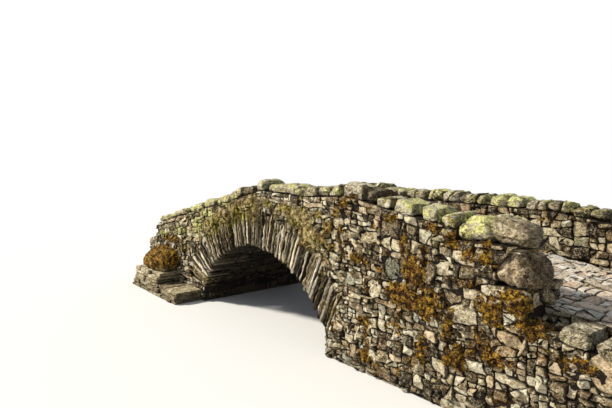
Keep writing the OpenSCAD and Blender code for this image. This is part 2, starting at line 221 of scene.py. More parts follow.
# Stone colours from the darkest to the palest
RUBBLE_TONES = tones((34, 26, 14), (82, 65, 39), (129, 108, 73),
                     (170, 150, 110), (210, 191, 150), (247, 236, 204))
SLATE_TONES = tones((22, 16, 8), (66, 50, 28), (118, 97, 63),
                    (168, 146, 104), (214, 194, 152), (247, 233, 203))
# The vault's stone: damp and dark, with painted shade under the arch
DAMP_SHADED_VAULT_TONES = tones((14, 11, 8), (26, 21, 15), (42, 34, 25), (62, 52, 39), (86, 74, 57), (116, 102, 82))
COPING_TONES = tones((34, 27, 16), (77, 64, 42), (126, 109, 78),
                     (163, 147, 113), (197, 182, 147), (234, 223, 196))
COBBLE_TONES = tones((122, 107, 86), (179, 161, 136), (212, 195, 169),
                     (234, 218, 194), (247, 234, 213), (253, 246, 232))
# Colours of what grows on the stones, and where they lie from shade to light
MOSS_STOPS = [0.08, 0.3, 0.5, 0.68, 0.84, 1.0]
GOLD_TONES = tones((22, 14, 4), (62, 40, 10), (118, 82, 20), (174, 124, 24), (212, 164, 40), (228, 198, 80))
STRAW_TONES = tones((36, 27, 8), (92, 74, 30), (150, 124, 62),
                    (192, 165, 98), (216, 194, 134), (236, 222, 176))
RUST_TONES = tones((20, 11, 4), (56, 30, 10), (106, 62, 22), (150, 92, 34), (184, 128, 52), (204, 166, 92))
GREEN_TONES = tones((16, 18, 4), (42, 48, 12), (78, 84, 24), (146, 144, 36), (202, 192, 58), (230, 220, 100))
LICHEN_STOPS = [0.2, 0.42, 0.6, 0.8]
LICHEN_TONES = tones((138, 132, 72), (206, 202, 112), (240, 237, 142), (253, 251, 204))
# Colours laid over the others
RUSTY_TINT = tone(232, 196, 160)
BLUE_GREY_TINT = tone(168, 194, 214)
CRUST = tone(226, 215, 186)
# Painted shade in pits
PIT_SHADE = tone(30, 22, 13)
STAIN = tone(60, 48, 32)
# Dirt, with painted shade
DIRT_AND_SHADE = tone(26, 19, 11)
WET_AND_SHADE = tone(14, 11, 7)
# Where the moss is that has green and straw colours, along the bridge
OVER_ARCH = ((1.6, 0.9), (-2.9, -2.3))


def moss_on(p, colour, cover):
    """Moss over a colour: dark brown to gold, and green and straw-coloured over the arch."""
    tuft = p.noise(60.0, 5.0, 0.75)
    level = (tuft - 0.5) * 3.4 + p.ripple(2.6, 18.0, 4.0, 0.6) + 0.5
    along = p.split(p.place, "X") + p.ripple(2.0, 3.0, 3.0)
    arch = p.step(along, *OVER_ARCH[0]) * p.step(along, *OVER_ARCH[1])
    green = p.step(p.noise(3.4, 4.0, 0.65, 0.6), 0.5, 0.56) * 0.8
    bright = level + 0.2
    over_arch = p.mix(green, p.ramp(bright, STRAW_TONES, MOSS_STOPS), p.ramp(bright, GREEN_TONES, MOSS_STOPS))
    rust = p.step(p.noise(5.0, 4.0, 0.65, 0.9), 0.5, 0.58) * 0.5
    gold = p.mix(rust, p.ramp(level, GOLD_TONES, MOSS_STOPS), p.ramp(level - 0.08, RUST_TONES, MOSS_STOPS))
    tufts = p.step(p.noise(6.0, 4.0, 0.7, 0.2), 0.42, 0.48)
    growth = p.mix(arch * (0.3 + tufts * 0.65), gold, over_arch)
    return p.mix(cover, colour, growth), tuft


def stone_paint(name, palette, crust=0.6, grain=1.0, craggy=1.0):
    """Weathered stone. The mesh says how pale it is, how much dirt and painted shade it has, what grows on it
    and how its grain lies.
    """
    p = Paint(name)
    stone, growth, lie = [p.carried(label) for label in ("stone", "growth", "lie")]
    shade, hue, edge = [p.split(stone, axis) for axis in "XYZ"]
    moss, lichen, damp_and_shade = [p.split(growth, axis) for axis in "XYZ"]
    mottle = p.noise(20.0, 6.0, 0.72, 0.5, lie)
    speckle = p.noise(70.0, 5.0, 0.75, 0.0, lie)
    patch = p.noise(7.0, 5.0, 0.7, 0.5, lie)
    level = shade * 0.88 + 0.15 + (patch - 0.5) * 1.5 * craggy
    level = level + (mottle - 0.5) * 2.1 * craggy + (speckle - 0.5) * 2.4
    colour = p.ramp(level, palette)
    # Rusty and blue-grey stones among the others
    colour = p.mix(p.step(hue, 0.66, 0.95) * 0.5, colour, RUSTY_TINT, "MULTIPLY")
    colour = p.mix(p.step(hue, 0.22, 0.02) * 0.9, colour, BLUE_GREY_TINT, "MULTIPLY")
    # Pale crusts, pits darkened with painted shade, and dark weather stains
    crusts = p.step(p.noise(34.0, 6.0, 0.75, 0.6), 0.53, 0.6)
    colour = p.mix(crusts * crust * grain, colour, CRUST)
    shaded_pits = p.step(p.noise(44.0, 5.0, 0.75, 0.4, lie), 0.38 + 0.04 * craggy, 0.3 + 0.05 * craggy)
    colour = p.mix(shaded_pits * 0.85, colour, PIT_SHADE)
    stains = p.step(p.noise(11.0, 6.0, 0.75, 0.8), 0.53, 0.62)
    colour = p.mix(stains * 0.55, colour, STAIN)
    # Dirt and painted shade in joints, under stones, in cracks and grooves
    colour = p.mix(edge * 0.85, colour, DIRT_AND_SHADE)
    # Damp, and painted shade under the arch
    colour = p.mix(damp_and_shade, colour, WET_AND_SHADE)
    # Lichen in blotches, then moss over everything, first of all in the joints
    ragged = lichen + p.ripple(2.6, 9.0, 6.0, 0.75, 0.5) + p.ripple(2.0, 30.0, 5.0, 0.75)
    blotch = p.step(ragged, 0.47, 0.54)
    yellow = p.ramp(p.ripple(2.4, 46.0, 5.0, 0.7) + 0.5, LICHEN_TONES, LICHEN_STOPS)
    colour = p.mix(blotch * 0.9, colour, yellow)
    cover = p.step(moss + edge * 0.16 + p.ripple(2.4, 26.0, 6.0, 0.75, 0.3), 0.46, 0.58)
    colour, tuft = moss_on(p, colour, cover)
    height = mottle * 0.8 + speckle * 0.5 + cover * tuft * 1.6 + blotch * 0.12 - shaded_pits * 0.3
    return p.finish(colour, 0.93, height, 0.03 * grain)


def earth_paint(name):
    """Soil and small chips packed in the joints."""
    p = Paint(name)
    clods = p.noise(45.0, 6.0, 0.7)
    colour = p.ramp(clods, tones((16, 12, 8), (30, 23, 15), (70, 56, 38)), [0.3, 0.5, 0.72])
    return p.finish(colour, 0.98, clods, 0.02)


def joint_paint(name):
    """The packing between the stones of a face, with moss that has grown over it."""
    p = Paint(name)
    growth = p.carried("growth")
    moss, damp_and_shade = [p.split(growth, axis) for axis in "XZ"]
    clods = p.noise(45.0, 6.0, 0.7)
    colour = p.ramp(clods, tones((14, 10, 6), (28, 21, 13), (76, 60, 40)), [0.3, 0.52, 0.75])
    cover = p.step(moss + p.ripple(2.2, 20.0, 6.0, 0.7, 0.3), 0.34, 0.5)
    colour, tuft = moss_on(p, colour, cover)
    # Damp, and painted shade under the arch
    colour = p.mix(damp_and_shade, colour, tone(10, 8, 5))
    return p.finish(colour, 0.98, clods + cover * tuft * 1.5, 0.025)


def moss_paint(name):
    """Cushions of moss."""
    p = Paint(name)
    colour, tuft = moss_on(p, tone(90, 70, 24), 1.0)
    fuzz = p.noise(160.0, 3.0, 0.7)
    return p.finish(colour, 1.0, tuft * 1.5 + fuzz * 0.5, 0.03)


walling = stone_paint("rubble_walling", RUBBLE_TONES, crust=0.75)
slate = stone_paint("ring_slate", SLATE_TONES, crust=0.35)
coping = stone_paint("lichened_coping", COPING_TONES, crust=0.6, craggy=1.6)
cobble = stone_paint("worn_cobble", COBBLE_TONES, crust=0.3, grain=0.8)
boulder = stone_paint("weathered_boulder", COPING_TONES, crust=0.5, craggy=1.3)
vault = stone_paint("damp_vault_stone", DAMP_SHADED_VAULT_TONES, crust=0.05)
joints = joint_paint("packed_joint")
moss = moss_paint("moss_cushion")
earth = earth_paint("packed_earth")


# Numbers that repeat
def lattice(i, j, k, seed):
    """A repeatable number from 0 to 1 for each corner of a grid."""
    n = (i * 73856093) ^ (j * 19349663) ^ (k * 83492791) ^ (seed * 7919 + 101)
    n = ((n ^ (n >> 13)) * 1274126177) & 0x7FFFFFFF
    n = ((n ^ (n >> 15)) * 668265263) & 0x7FFFFFFF
    return (n >> 7 & 0xFFFF) / 65535.0


def lumps(points, size, seed):
    """Smooth noise from -1 to 1 whose lumps are about size across."""
    q = np.asarray(points, float) / size
    base = np.floor(q).astype(np.int64)
    f = q - base
    f = f * f * (3 - 2 * f)
    total = 0.0
    for corner in np.ndindex(2, 2, 2):
        weight = np.prod(np.where(np.array(corner), f, 1 - f), axis=-1)
        total = total + weight * lattice(*np.moveaxis(base + corner, -1, 0), seed)
    return total * 2 - 1


def flat_lumps(points, size, seed):
    """The same on a plane: points are pairs."""
    level = np.full((*points.shape[:-1], 1), 0.37 * size)
    return lumps(np.concatenate([points, level], axis=-1), size, seed)


# Growth on the stones: mossy patches of the near face (along, up, half width, half height, amount)
NEAR_MOSS = [
    (2.62, 1.36, 0.2, 0.2, 1.0), (2.5, 1.05, 0.34, 0.17, 1.0), (2.82, 1.03, 0.2, 0.2, 1.0),
    (2.47, 1.62, 0.07, 0.2, 0.75), (3.53, 1.12, 0.14, 0.17, 1.0), (3.12, 1.72, 0.1, 0.1, 0.8),
    (3.46, 1.6, 0.1, 0.14, 0.7), (2.86, 1.85, 0.14, 0.08, 0.8), (3.4, 1.77, 0.35, 0.06, 0.7),
    (3.7, 1.3, 0.2, 0.1, 0.85), (3.9, 1.05, 0.2, 0.12, 0.8), (4.3, 0.86, 0.4, 0.12, 0.5),
    (1.72, 1.37, 0.12, 0.08, 1.0), (1.25, 1.44, 0.1, 0.06, 0.8), (1.02, 1.84, 0.1, 0.07, 0.9),
    (1.66, 2.12, 0.08, 0.05, 0.9), (2.28, 1.9, 0.12, 0.06, 0.85), (3.1, 1.74, 0.12, 0.1, 1.0),
    (3.28, 1.62, 0.1, 0.1, 0.9), (3.3, 1.33, 0.1, 0.07, 0.8), (1.45, 1.68, 0.1, 0.06, 0.75),
    (1.95, 1.97, 0.1, 0.06, 0.75), (1.87, 0.64, 0.18, 0.07, 0.85), (2.05, 1.78, 0.14, 0.05, 0.65),
    (1.05, 1.82, 0.09, 0.06, 0.7), (0.64, 2.03, 0.1, 0.04, 0.6), (2.12, 1.28, 0.1, 0.05, 0.7),
    (2.2, 1.5, 0.12, 0.06, 0.5), (2.75, 1.62, 0.14, 0.06, 0.5), (1.5, 1.1, 0.12, 0.05, 0.45),
    (3.2, 1.35, 0.12, 0.05, 0.55), (3.05, 0.75, 0.2, 0.06, 0.5), (3.82, 1.22, 0.16, 0.14, 0.95),
    (-3.65, 0.99, 0.5, 0.06, 0.95), (-3.1, 0.88, 0.25, 0.12, 0.6), (-2.75, 1.25, 0.25, 0.1, 0.5),
    (-2.0, 1.36, 0.4, 0.18, 0.9), (-1.55, 1.58, 0.4, 0.2, 1.0), (-1.1, 1.72, 0.36, 0.22, 1.0),
    (-0.62, 1.8, 0.26, 0.28, 1.0), (0.55, 1.78, 0.36, 0.16, 1.0), (0.8, 1.5, 0.3, 0.2, 1.0),
    (0.24, 1.88, 0.3, 0.1, 0.75), (-0.2, 1.9, 0.2, 0.12, 0.7),
]
# Yellow-green lichen of the near face
NEAR_LICHEN = [
    (-2.45, 1.36, 0.5, 0.24, 0.74), (-2.0, 1.62, 0.5, 0.12, 0.7), (-1.4, 1.88, 0.5, 0.1, 0.55),
    (-3.2, 1.2, 0.5, 0.14, 0.66), (-3.1, 0.92, 0.3, 0.12, 0.55), (-3.9, 1.05, 0.4, 0.12, 0.55),
    (0.9, 1.7, 0.3, 0.2, 0.3), (1.9, 1.5, 0.5, 0.3, 0.2), (3.2, 1.75, 0.4, 0.1, 0.35),
]
# Small pale shards of the near face
NEAR_SHARDS = [(1.85, 0.72, 0.5, 0.3, 1.0), (1.25, 1.25, 0.25, 0.2, 0.5), (3.6, 1.15, 0.4, 0.1, 0.5)]
# Where small tufts of moss are scattered over the near face, and the size of their lumps
SPOTTED = (0.9, 3.95)
TUFT_SIZE = 0.17
# Stray moss grows from this height up, in lumps of this size, and less of it between the parapets
STRAY_LOW = 0.3
STRAY_SIZE = 0.22
BETWEEN_Y = 1.0
# Both outer faces lie farther from the middle than this
OUTER_Y = 1.3
# The far face has the near one's patches, moved along by this
FAR_SHIFT = 1.1
# Stones are damp and darkened with painted shade under the arch, and damp everywhere up to this height
DAMP_AND_SHADE = 0.45
DAMP_Z = 0.2


def patches(x, z, table):
    """How much of something there is at places on a face, from a table of soft round patches."""
    total = np.zeros(np.shape(x))
    for px, pz, rx, rz, amount in table:
        total = np.maximum(total, amount * np.exp(-((x - px) / rx) ** 2 - ((z - pz) / rz) ** 2))
    return total


def growth_at(points):
    """Moss, lichen, and damp with painted shade under the arch, at points of the bridge."""
    x, y, z = np.moveaxis(points, -1, 0)
    near = y < -OUTER_Y
    moss = np.where(near, patches(x, z, NEAR_MOSS), 0)
    far_x = np.where(y > OUTER_Y, x + FAR_SHIFT + 0.6 * np.sin(3 * x), 99)
    moss = np.maximum(moss, patches(far_x, z, NEAR_MOSS) * 0.8)
    spotted = near & (x > SPOTTED[0]) & (x < SPOTTED[1])
    moss = np.maximum(moss, np.where(spotted, 1.2 * (lumps(points, TUFT_SIZE, 6) - 0.09), 0))
    stray = 0.62 * np.maximum(lumps(points, STRAY_SIZE, 5) - 0.05, 0) * (z > STRAY_LOW)
    moss = np.maximum(moss, stray * np.where(np.abs(y) > BETWEEN_Y, 1, 0.4))
    yellow = np.where(near, patches(x, z, NEAR_LICHEN), 0.25 * np.maximum(lumps(points, 0.6, 9), 0))
    # Damp and painted shade under the arch
    in_arch = (np.hypot(x - ARCH_X, z - ARCH_Z) < ARCH_R + 0.02) & (np.abs(x - ARCH_X) < 1.75)
    damp_and_shade = np.where(in_arch & (np.abs(y) < OUTER_Y), DAMP_AND_SHADE, 0.0)
    damp_and_shade = np.maximum(damp_and_shade, DAMP_AND_SHADE * np.clip((DAMP_Z - z) / DAMP_Z, 0, 1))
    return np.stack([moss, yellow, damp_and_shade], axis=-1)


# Gathering a mesh
class Heap:
    """Collects the points and faces of many stones for one mesh."""

    def __init__(self):
        self.points, self.stone, self.growth, self.lie, self.faces, self.count = [], [], [], [], [], 0

    def add(self, points, faces, stone, growth, lie=None):
        """Adds points, groups of faces, and what the paint reads at each point."""
        points[..., 2] = np.maximum(points[..., 2], 0)
        self.points.append(points.reshape(-1, 3))
        self.lie.append((points if lie is None else lie).reshape(-1, 3))
        self.stone.append(np.broadcast_to(stone, points.shape).reshape(-1, 3))
        self.growth.append(growth.reshape(-1, 3))
        for group in faces:
            self.faces.extend((np.asarray(group) + self.count).tolist())
        self.count += len(self.points[-1])

    def piece(self, name, paint, slot, replaced=(), sharp=20):
        """Makes the piece. replaced names the CAD nodes that it stands for."""
        mesh = bpy.data.meshes.new(name)
        mesh.from_pydata(np.concatenate(self.points).tolist(), [], self.faces)
        for label, values in (("stone", self.stone), ("growth", self.growth), ("lie", self.lie)):
            layer = mesh.attributes.new(label, "FLOAT_VECTOR", "POINT")
            layer.data.foreach_set("vector", np.concatenate(values).astype(np.float32).ravel())
        mesh.shade_smooth()
        mesh.set_sharp_from_angle(angle=math.radians(sharp))
        mesh.materials.append(paint)
        made = bpy.data.objects.new(name, mesh)
        bpy.context.scene.collection.objects.link(made)
        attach(made, "root")
        if replaced:
            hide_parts(*replaced)


def ring_faces(stones, count, rings):
    """Faces of many like stones: bands between rings of points, a fan to the point after them, and a back."""
    start = np.arange(stones)[:, None] * (rings * count + 1)
    i = np.arange(count)
    j = (i + 1) % count
    bands = []
    for k in range(rings - 1):
        low, high = start + k * count, start + (k + 1) * count
        bands.append(np.stack([low + i, low + j, high + j, high + i], axis=-1).reshape(-1, 4))
    last = start + (rings - 1) * count
    peak = np.broadcast_to(last + count, (stones, count))
    fans = np.stack([last + i, last + j, peak], axis=-1).reshape(-1, 3)
    return [*bands, fans, start + i[::-1]]


# Laying rubble: how much stones differ in size, how many are big ones, and the least height of one
WIDTH_SPREAD = 0.42
HEIGHT_SPREAD = 0.38
BIG_SHARE = 0.08
BIG_W = 1.6
BIG_H = 1.7
LEAST_H = 0.018


def pack_courses(length, height, size_at, rng):
    """Oblongs of stones, as (along, up, width, height), each laid in the lowest place of the rising wall."""
    line = [[0.0, length, 0.0]]
    stones = []
    while True:
        n = min(range(len(line)), key=lambda m: line[m][2])
        left, right, low = line[n]
        if low >= height - 1e-6:
            return np.array(stones)
        room = right - left
        width, rise = size_at((left + right) / 2, low)
        w = width * math.exp(rng.normal(0, WIDTH_SPREAD))
        h = rise * math.exp(rng.normal(0, HEIGHT_SPREAD))
        if rng.random() < BIG_SHARE:
            w, h = w * BIG_W, h * BIG_H
        beside = [line[m][2] for m in (n - 1, n + 1) if 0 <= m < len(line)]
        step = min(beside) - low if beside else math.inf
        if room < 0.55 * width:
            # One stone fills a narrow gap, up to the level beside it where that is near
            w = room
            h = min(step, 1.2 * room) if step < math.inf else h
            h = step if step - h < 0.35 * rise else h
        else:
            # One or two stones fill a gap that has no room for a third
            if room - w < 0.5 * width:
                w = room if room < 1.5 * w else room / 2
            h = step if abs(step - h) < 0.35 * h else h
        if height - low - h < 0.4 * rise:
            h = height - low
        start = left if rng.random() < 0.5 else right - w
        if h > LEAST_H:
            stones.append((start, low, w, h))
        cut = [[left, start, low], [start, start + w, low + h], [start + w, right, low]]
        line[n : n + 1] = [s for s in cut if s[1] - s[0] > 1e-9]
        merged = [line[0]]
        for s in line[1:]:
            if abs(s[2] - merged[-1][2]) < 1e-6:
                merged[-1][1] = s[1]
            else:
                merged.append(s)
        line = merged


# A stone's outline before it is bent: three points to a side, from the lower left corner
SIDE = [(0, 0), (1 / 3, 0), (2 / 3, 0), (1, 0), (1, 1 / 3), (1, 2 / 3),
        (1, 1), (2 / 3, 1), (1 / 3, 1), (0, 1), (0, 2 / 3), (0, 1 / 3)]
# How far its corners are pulled out or knocked off, and the angle by which it lies askew
KNOCK = (-0.2, 0.6)
ASKEW = 0.11


def rough_outlines(rects, bend, rng):
    """Outlines of stones from rectangles, with knocked corners, each a little askew."""
    unit = np.broadcast_to(np.array(SIDE, float), (len(rects), 12, 2)).copy()
    for corner in (0, 3, 6, 9):
        beside = (unit[:, corner - 1] + unit[:, (corner + 1) % 12]) / 2
        unit[:, corner] += (beside - unit[:, corner]) * rng.uniform(*KNOCK, (len(rects), 1))
    turn = rng.normal(0, ASKEW, (len(rects), 1))
    across, up = np.moveaxis((unit - 0.5) * rects[:, None, 2:], -1, 0)
    turned = [across * np.cos(turn) - up * np.sin(turn), across * np.sin(turn) + up * np.cos(turn)]
    return bend(rects[:, None, :2] + rects[:, None, 2:] / 2 + np.stack(turned, axis=-1))


def edge_samples(outline, spacing=0.015):
    """Points along a closed outline, with the direction that lies to its left at each."""
    outline = np.array(outline, float)
    places, normals = [], []
    for a, b in zip(outline, np.roll(outline, -1, axis=0)):
        span = np.hypot(*(b - a))
        if span < 1e-9:
            continue
        many = max(1, round(span / spacing))
        t = (np.arange(many) + 0.5) / many
        places.append(a + t[:, None] * (b - a))
        normals.append(np.broadcast_to(np.array([a[1] - b[1], b[0] - a[0]]) / span, (many, 2)))
    return np.concatenate(places), np.concatenate(normals)


def inside(outline, points):
    """Which points lie in a closed outline."""
    outline = np.array(outline, float)
    x, y = points[:, 0, None], points[:, 1, None]
    ax, ay = outline.T
    bx, by = np.roll(outline, -1, axis=0).T
    span = np.where(by == ay, 1e-12, by - ay)
    crosses = ((ay > y) != (by > y)) & (x < (bx - ax) * (y - ay) / span + ax)
    return crosses.sum(axis=1) % 2 == 1


def cut_by(polygon, place, normal):
    """The part of a polygon on the normal's side of a line."""
    side = (polygon - place) @ normal
    kept = []
    for i in range(len(polygon)):
        j = (i + 1) % len(polygon)
        if side[i] >= 0:
            kept.append(polygon[i])
        if (side[i] >= 0) != (side[j] >= 0):
            kept.append(polygon[i] + (polygon[j] - polygon[i]) * side[i] / (side[i] - side[j]))
    return np.array(kept)


def area(polygon):
    """Area of a polygon."""
    x, y = polygon.T
    return abs(x @ np.roll(y, -1) - y @ np.roll(x, -1)) / 2


# A stone that reaches less than this past an outline is left as it is
OVERLAP = 0.004
# A stone cut to less than this area, or to less than this share of it, is dropped
LEAST_AREA = 0.0007
LEAST_SHARE = 0.16


def trimmed(polygons, outline, holes=()):
    """The polygons cut back to an outline and clear of the holes in it. Slivers are dropped."""
    places, normals = edge_samples(outline)
    for hole in holes:
        more, away = edge_samples(hole)
        places, normals = np.concatenate([places, more]), np.concatenate([normals, -away])
    middles = np.array([p.mean(axis=0) for p in polygons])
    allowed = inside(outline, middles)
    for hole in holes:
        allowed &= ~inside(hole, middles)
    kept = []
    for polygon, ok in zip(polygons, allowed):
        full = area(polygon)
        for _ in range(5):
            if len(polygon) < 3:
                break
            low, high = polygon.min(axis=0), polygon.max(axis=0)
            near = np.flatnonzero(((places > low) & (places < high)).all(axis=1))
            near = near[inside(polygon, places[near])] if len(near) else near
            depth = [np.hypot(*(polygon - places[i]).T).min() for i in near]
            if not len(near) or max(depth) < OVERLAP:
                break
            deepest = near[int(np.argmax(depth))]
            polygon = cut_by(polygon, places[deepest], normals[deepest])
            ok = True
        if ok and len(polygon) > 2 and area(polygon) > max(LEAST_AREA, LEAST_SHARE * full):
            if inside(outline, polygon.mean(axis=0)[None])[0]:
                kept.append(polygon)
    return kept


def halved(polygon, place, normal):
    """The two parts of a polygon on either side of a line."""
    parts = [cut_by(polygon, place, normal), cut_by(polygon, place, -normal)]
    return [part for part in parts if len(part) > 2]


# Only stones with a larger area than these are split or chipped, and a chip is never smaller than the last
SPLIT_AREA = 0.007
CHIPPED_AREA = 0.004
CHIP_AREA = 0.0005


def broken(polygons, rng, split=0.3, chip=0.4):
    """Splits some stones by a slanting joint, and parts a chip from a corner of others."""
    made = []
    for polygon in polygons:
        low, high = polygon.min(axis=0), polygon.max(axis=0)
        middle, (w, h) = polygon.mean(axis=0), high - low
        chance = rng.random()
        parts = [polygon]
        if chance < split and w * h > SPLIT_AREA:
            angle = rng.normal(0, 0.45) + (math.pi / 2 if h > 0.9 * w else 0)
            at = middle + rng.uniform(-0.2, 0.2, 2) * [w, h]
            parts = halved(polygon, at, np.array([math.cos(angle), math.sin(angle)]))
        elif chance < split + chip and w * h > CHIPPED_AREA:
            sx, sy = rng.choice([-1, 1], 2)
            fx, fy = rng.uniform(0.25, 0.6), rng.uniform(0.35, 0.85)
            corner = np.array([high[0] if sx > 0 else low[0], high[1] if sy > 0 else low[1]])
            normal = np.array([sx / (fx * w), sy / (fy * h)])
            parts = halved(polygon, corner - [sx * fx * w, 0], -normal / np.hypot(*normal))
        made.extend(part for part in parts if area(part) > CHIP_AREA)
    return made


def drawn_back(polygon, count, joint, rng):
    """A polygon drawn back by a joint, as count points: its sharpest corners, and breaks in its edges."""
    ring = np.array(polygon)
    while len(ring) > count:
        before, after = ring - np.roll(ring, 1, axis=0), np.roll(ring, -1, axis=0) - ring
        turns = before[:, 0] * after[:, 1] - before[:, 1] * after[:, 0]
        ring = np.delete(ring, int(np.argmin(np.abs(turns))), axis=0)
    while len(ring) < count:
        edge = np.roll(ring, -1, axis=0) - ring
        k = int(np.argmax(np.hypot(*edge.T)))
        at = ring[k] + edge[k] * rng.uniform(0.35, 0.65)
        ring = np.insert(ring, k + 1, at + np.array([edge[k][1], -edge[k][0]]) * rng.normal(0, 0.06), axis=0)
    middle = ring.mean(axis=0)
    reach = np.maximum(np.hypot(*(ring - middle).T)[:, None], 1e-6)
    return middle + (ring - middle) * np.clip(1 - joint / reach, 0.4, 1)


# How finely a stone is made, by its size: points round it, how far its rings reach, and the sizes from and to
FINE = [(7, (), 0, 0.045), (9, (0.55,), 0.045, 0.07), (13, (0.6,), 0.07, 0.1),
        (17, (0.7, 0.4), 0.1, 0.14), (22, (0.78, 0.54, 0.28), 0.14, 9)]
PLAIN = [(9, (), 0, 0.06), (12, (0.55,), 0.06, 0.12), (16, (0.66, 0.33), 0.12, 9)]
WORN = [(7, (), 0, 0.09), (9, (0.6,), 0.09, 0.16), (13, (0.6,), 0.16, 9)]
# How far the sides of a stone go back into the wall, and how far moss makes it swell
BACK = 0.05
SWELL = 0.02
# The bevel round a stone's face: its share of the stone's size, and its least and greatest width
BEVEL_SHARE = 0.04
BEVELS = (0.003, 0.008)
# The grain of a stone's face: how high its lumps are, and how wide
FACE_GRAINS = [(0.011, 0.075, 17), (0.012, 0.032, 18)]
# The grain in a stone runs along its bed: lengths are stretched by this before the paint reads them
BED = (1.0, 1.0, 1.8)


def grain_of(noise, points, grains):
    """Lumps of several sizes together. Each grain has a height, a width and a seed."""
    return sum(height * noise(points, width, seed) for height, width, seed in grains)


def face_heights(flat, middle, size, proud, tilt, rough, rng):
    """How far a stone's face stands out: the lowest of four tilted planes, and a rough grain."""
    stones, per = flat.shape[:2]
    level = rng.uniform(*proud, (stones, 1))
    face = np.full((stones, per), 9.0)
    for k in range(4):
        lean = rng.normal(0, tilt * (1.0 if k == 0 else 3.0), (stones, 1, 2))
        lift = level + (0 if k == 0 else rng.uniform(-0.003, 0.04, (stones, 1)) * size[..., 0] / 0.2)
        face = np.minimum(face, lift + ((flat - middle) * lean).sum(axis=2))
    face += rough * grain_of(flat_lumps, flat, FACE_GRAINS)
    return np.maximum(face, 0.25 * level)


def raise_stones(heap, outlines, place, rng, classes=PLAIN, joint=0.005, proud=(0.01, 0.055), tilt=0.17,
                 rough=1.0, pale=(0.0, 1.0), known=(), paler=()):
    """Gives each outline the body of a stone. known has how pale the first ones are, and their hues."""
    sizes = np.array([math.sqrt(area(p)) for p in outlines])
    shade = rng.uniform(*pale, len(outlines))
    if paler:
        shade += 0.35 * patches(*np.array([p.mean(axis=0) for p in outlines]).T, paler)
    hue = rng.uniform(0.1, 1, len(outlines))
    for n, looks in enumerate(known):
        shade[n], hue[n] = looks
    for count, fractions, least, most in classes:
        which = np.flatnonzero((sizes >= least) & (sizes < most))
        if not len(which):
            continue
        ring = np.array([drawn_back(outlines[i], count, joint, rng) for i in which])
        size = sizes[which][:, None, None]
        middle = ring.mean(axis=1, keepdims=True)
        reach = np.maximum(np.linalg.norm(ring - middle, axis=2, keepdims=True), 1e-6)
        bevel = np.clip(BEVEL_SHARE * size, *BEVELS)
        shares = [0.99 + 0 * reach, 1 + 0 * reach, 1 - bevel / reach]
        shares += [f * (1 - bevel / reach) * rng.uniform(0.86, 1.14, reach.shape) for f in fractions]
        peak = middle + rng.uniform(-0.1, 0.1, middle.shape) * size
        flat = np.concatenate([*(middle + (ring - middle) * share for share in shares), peak], axis=1)
        # From the back edge over the side and the bevel to the face: how far out, and how much dirt and
        # painted shade it has
        spans, inner = [count] * len(shares) + [1], len(shares) - 2
        height = face_heights(flat, middle, size, proud, tilt, rough, rng)
        height = height * np.repeat([0.0, 0.75, 0.97] + [1.0] * inner, spans)
        height[:, :count] = -BACK
        dirt_and_shade = np.repeat([1.0, 0.8, 0.1] + [0.0] * inner, spans)
        points = place(flat[..., 0], flat[..., 1], height)
        stone = np.stack(np.broadcast_arrays(shade[which][:, None], hue[which][:, None], dirt_and_shade), axis=-1)
        growth = growth_at(points)
        thick = np.clip(growth[..., 0] - 0.4, 0, 0.4) / 0.4
        swell = SWELL * thick * (1 + lumps(points, 0.06, 21)) * (height > 0)
        points = place(flat[..., 0], flat[..., 1], height + swell)
        lie = points * np.array(BED) + rng.uniform(-5, 5, (len(flat), 1, 3))
        heap.add(points, ring_faces(len(flat), count, len(shares)), stone, growth, lie)


# A cushion of moss: points round it, and how wide and how high its rings are
CUSHION_POINTS = 9
CUSHION_RINGS = [(1.0, -0.6), (0.92, 0.45), (0.5, 0.9)]
# Its radius, its height as a share of that, how far it stands out, and how much moss it grows on
CUSHION_RADII = (0.016, 0.05)
CUSHION_HEIGHTS = (0.35, 0.75)
CUSHION_FEET = (0.0, 0.03)
CUSHION_MOSS = (0.42, 0.85)


def moss_cushions(heap, outline, place, rng, many):
    """Ragged low cushions where the moss is thick, from so many tries."""
    outline = np.array(outline)
    spots = rng.uniform(outline.min(axis=0), outline.max(axis=0), (many, 2))
    spots = spots[inside(outline, spots)]
    thick = growth_at(place(spots[:, 0], spots[:, 1], 0 * spots[:, 0]))[:, 0]
    spots = spots[thick > rng.uniform(*CUSHION_MOSS, len(spots))]
    shape = (len(spots), CUSHION_POINTS)
    turn = np.arange(CUSHION_POINTS) * 2 * math.pi / CUSHION_POINTS
    radius = rng.uniform(*CUSHION_RADII, (len(spots), 1)) * rng.uniform(0.7, 1.25, shape)
    tall = rng.uniform(*CUSHION_HEIGHTS, (len(spots), 1)) * radius.mean(axis=1, keepdims=True)
    foot = rng.uniform(*CUSHION_FEET, (len(spots), 1))
    rings = []
    for share, rise in CUSHION_RINGS:
        u = spots[:, :1] + np.cos(turn) * radius * share * rng.uniform(0.85, 1.15, shape)
        v = spots[:, 1:] + np.sin(turn) * radius * share * rng.uniform(0.85, 1.15, shape)
        rings.append(place(u, v, foot + tall * rise * rng.uniform(0.8, 1.25, shape)))
    rings.append(place(spots[:, :1], spots[:, 1:], foot + tall * 1.05))
    points = np.concatenate(rings, axis=1)
    faces = ring_faces(len(spots), CUSHION_POINTS, len(CUSHION_RINGS))
    heap.add(points, faces, np.zeros(3), np.ones(points.shape))


# The packing of the joints: height and width of its lumps, how far moss swells it, and the moss's lumps
SOIL_LUMPS = (0.006, 0.06)
PACKED_MOSS = 0.022
PACKED_MOSS_LUMPS = (0.012, 0.07)


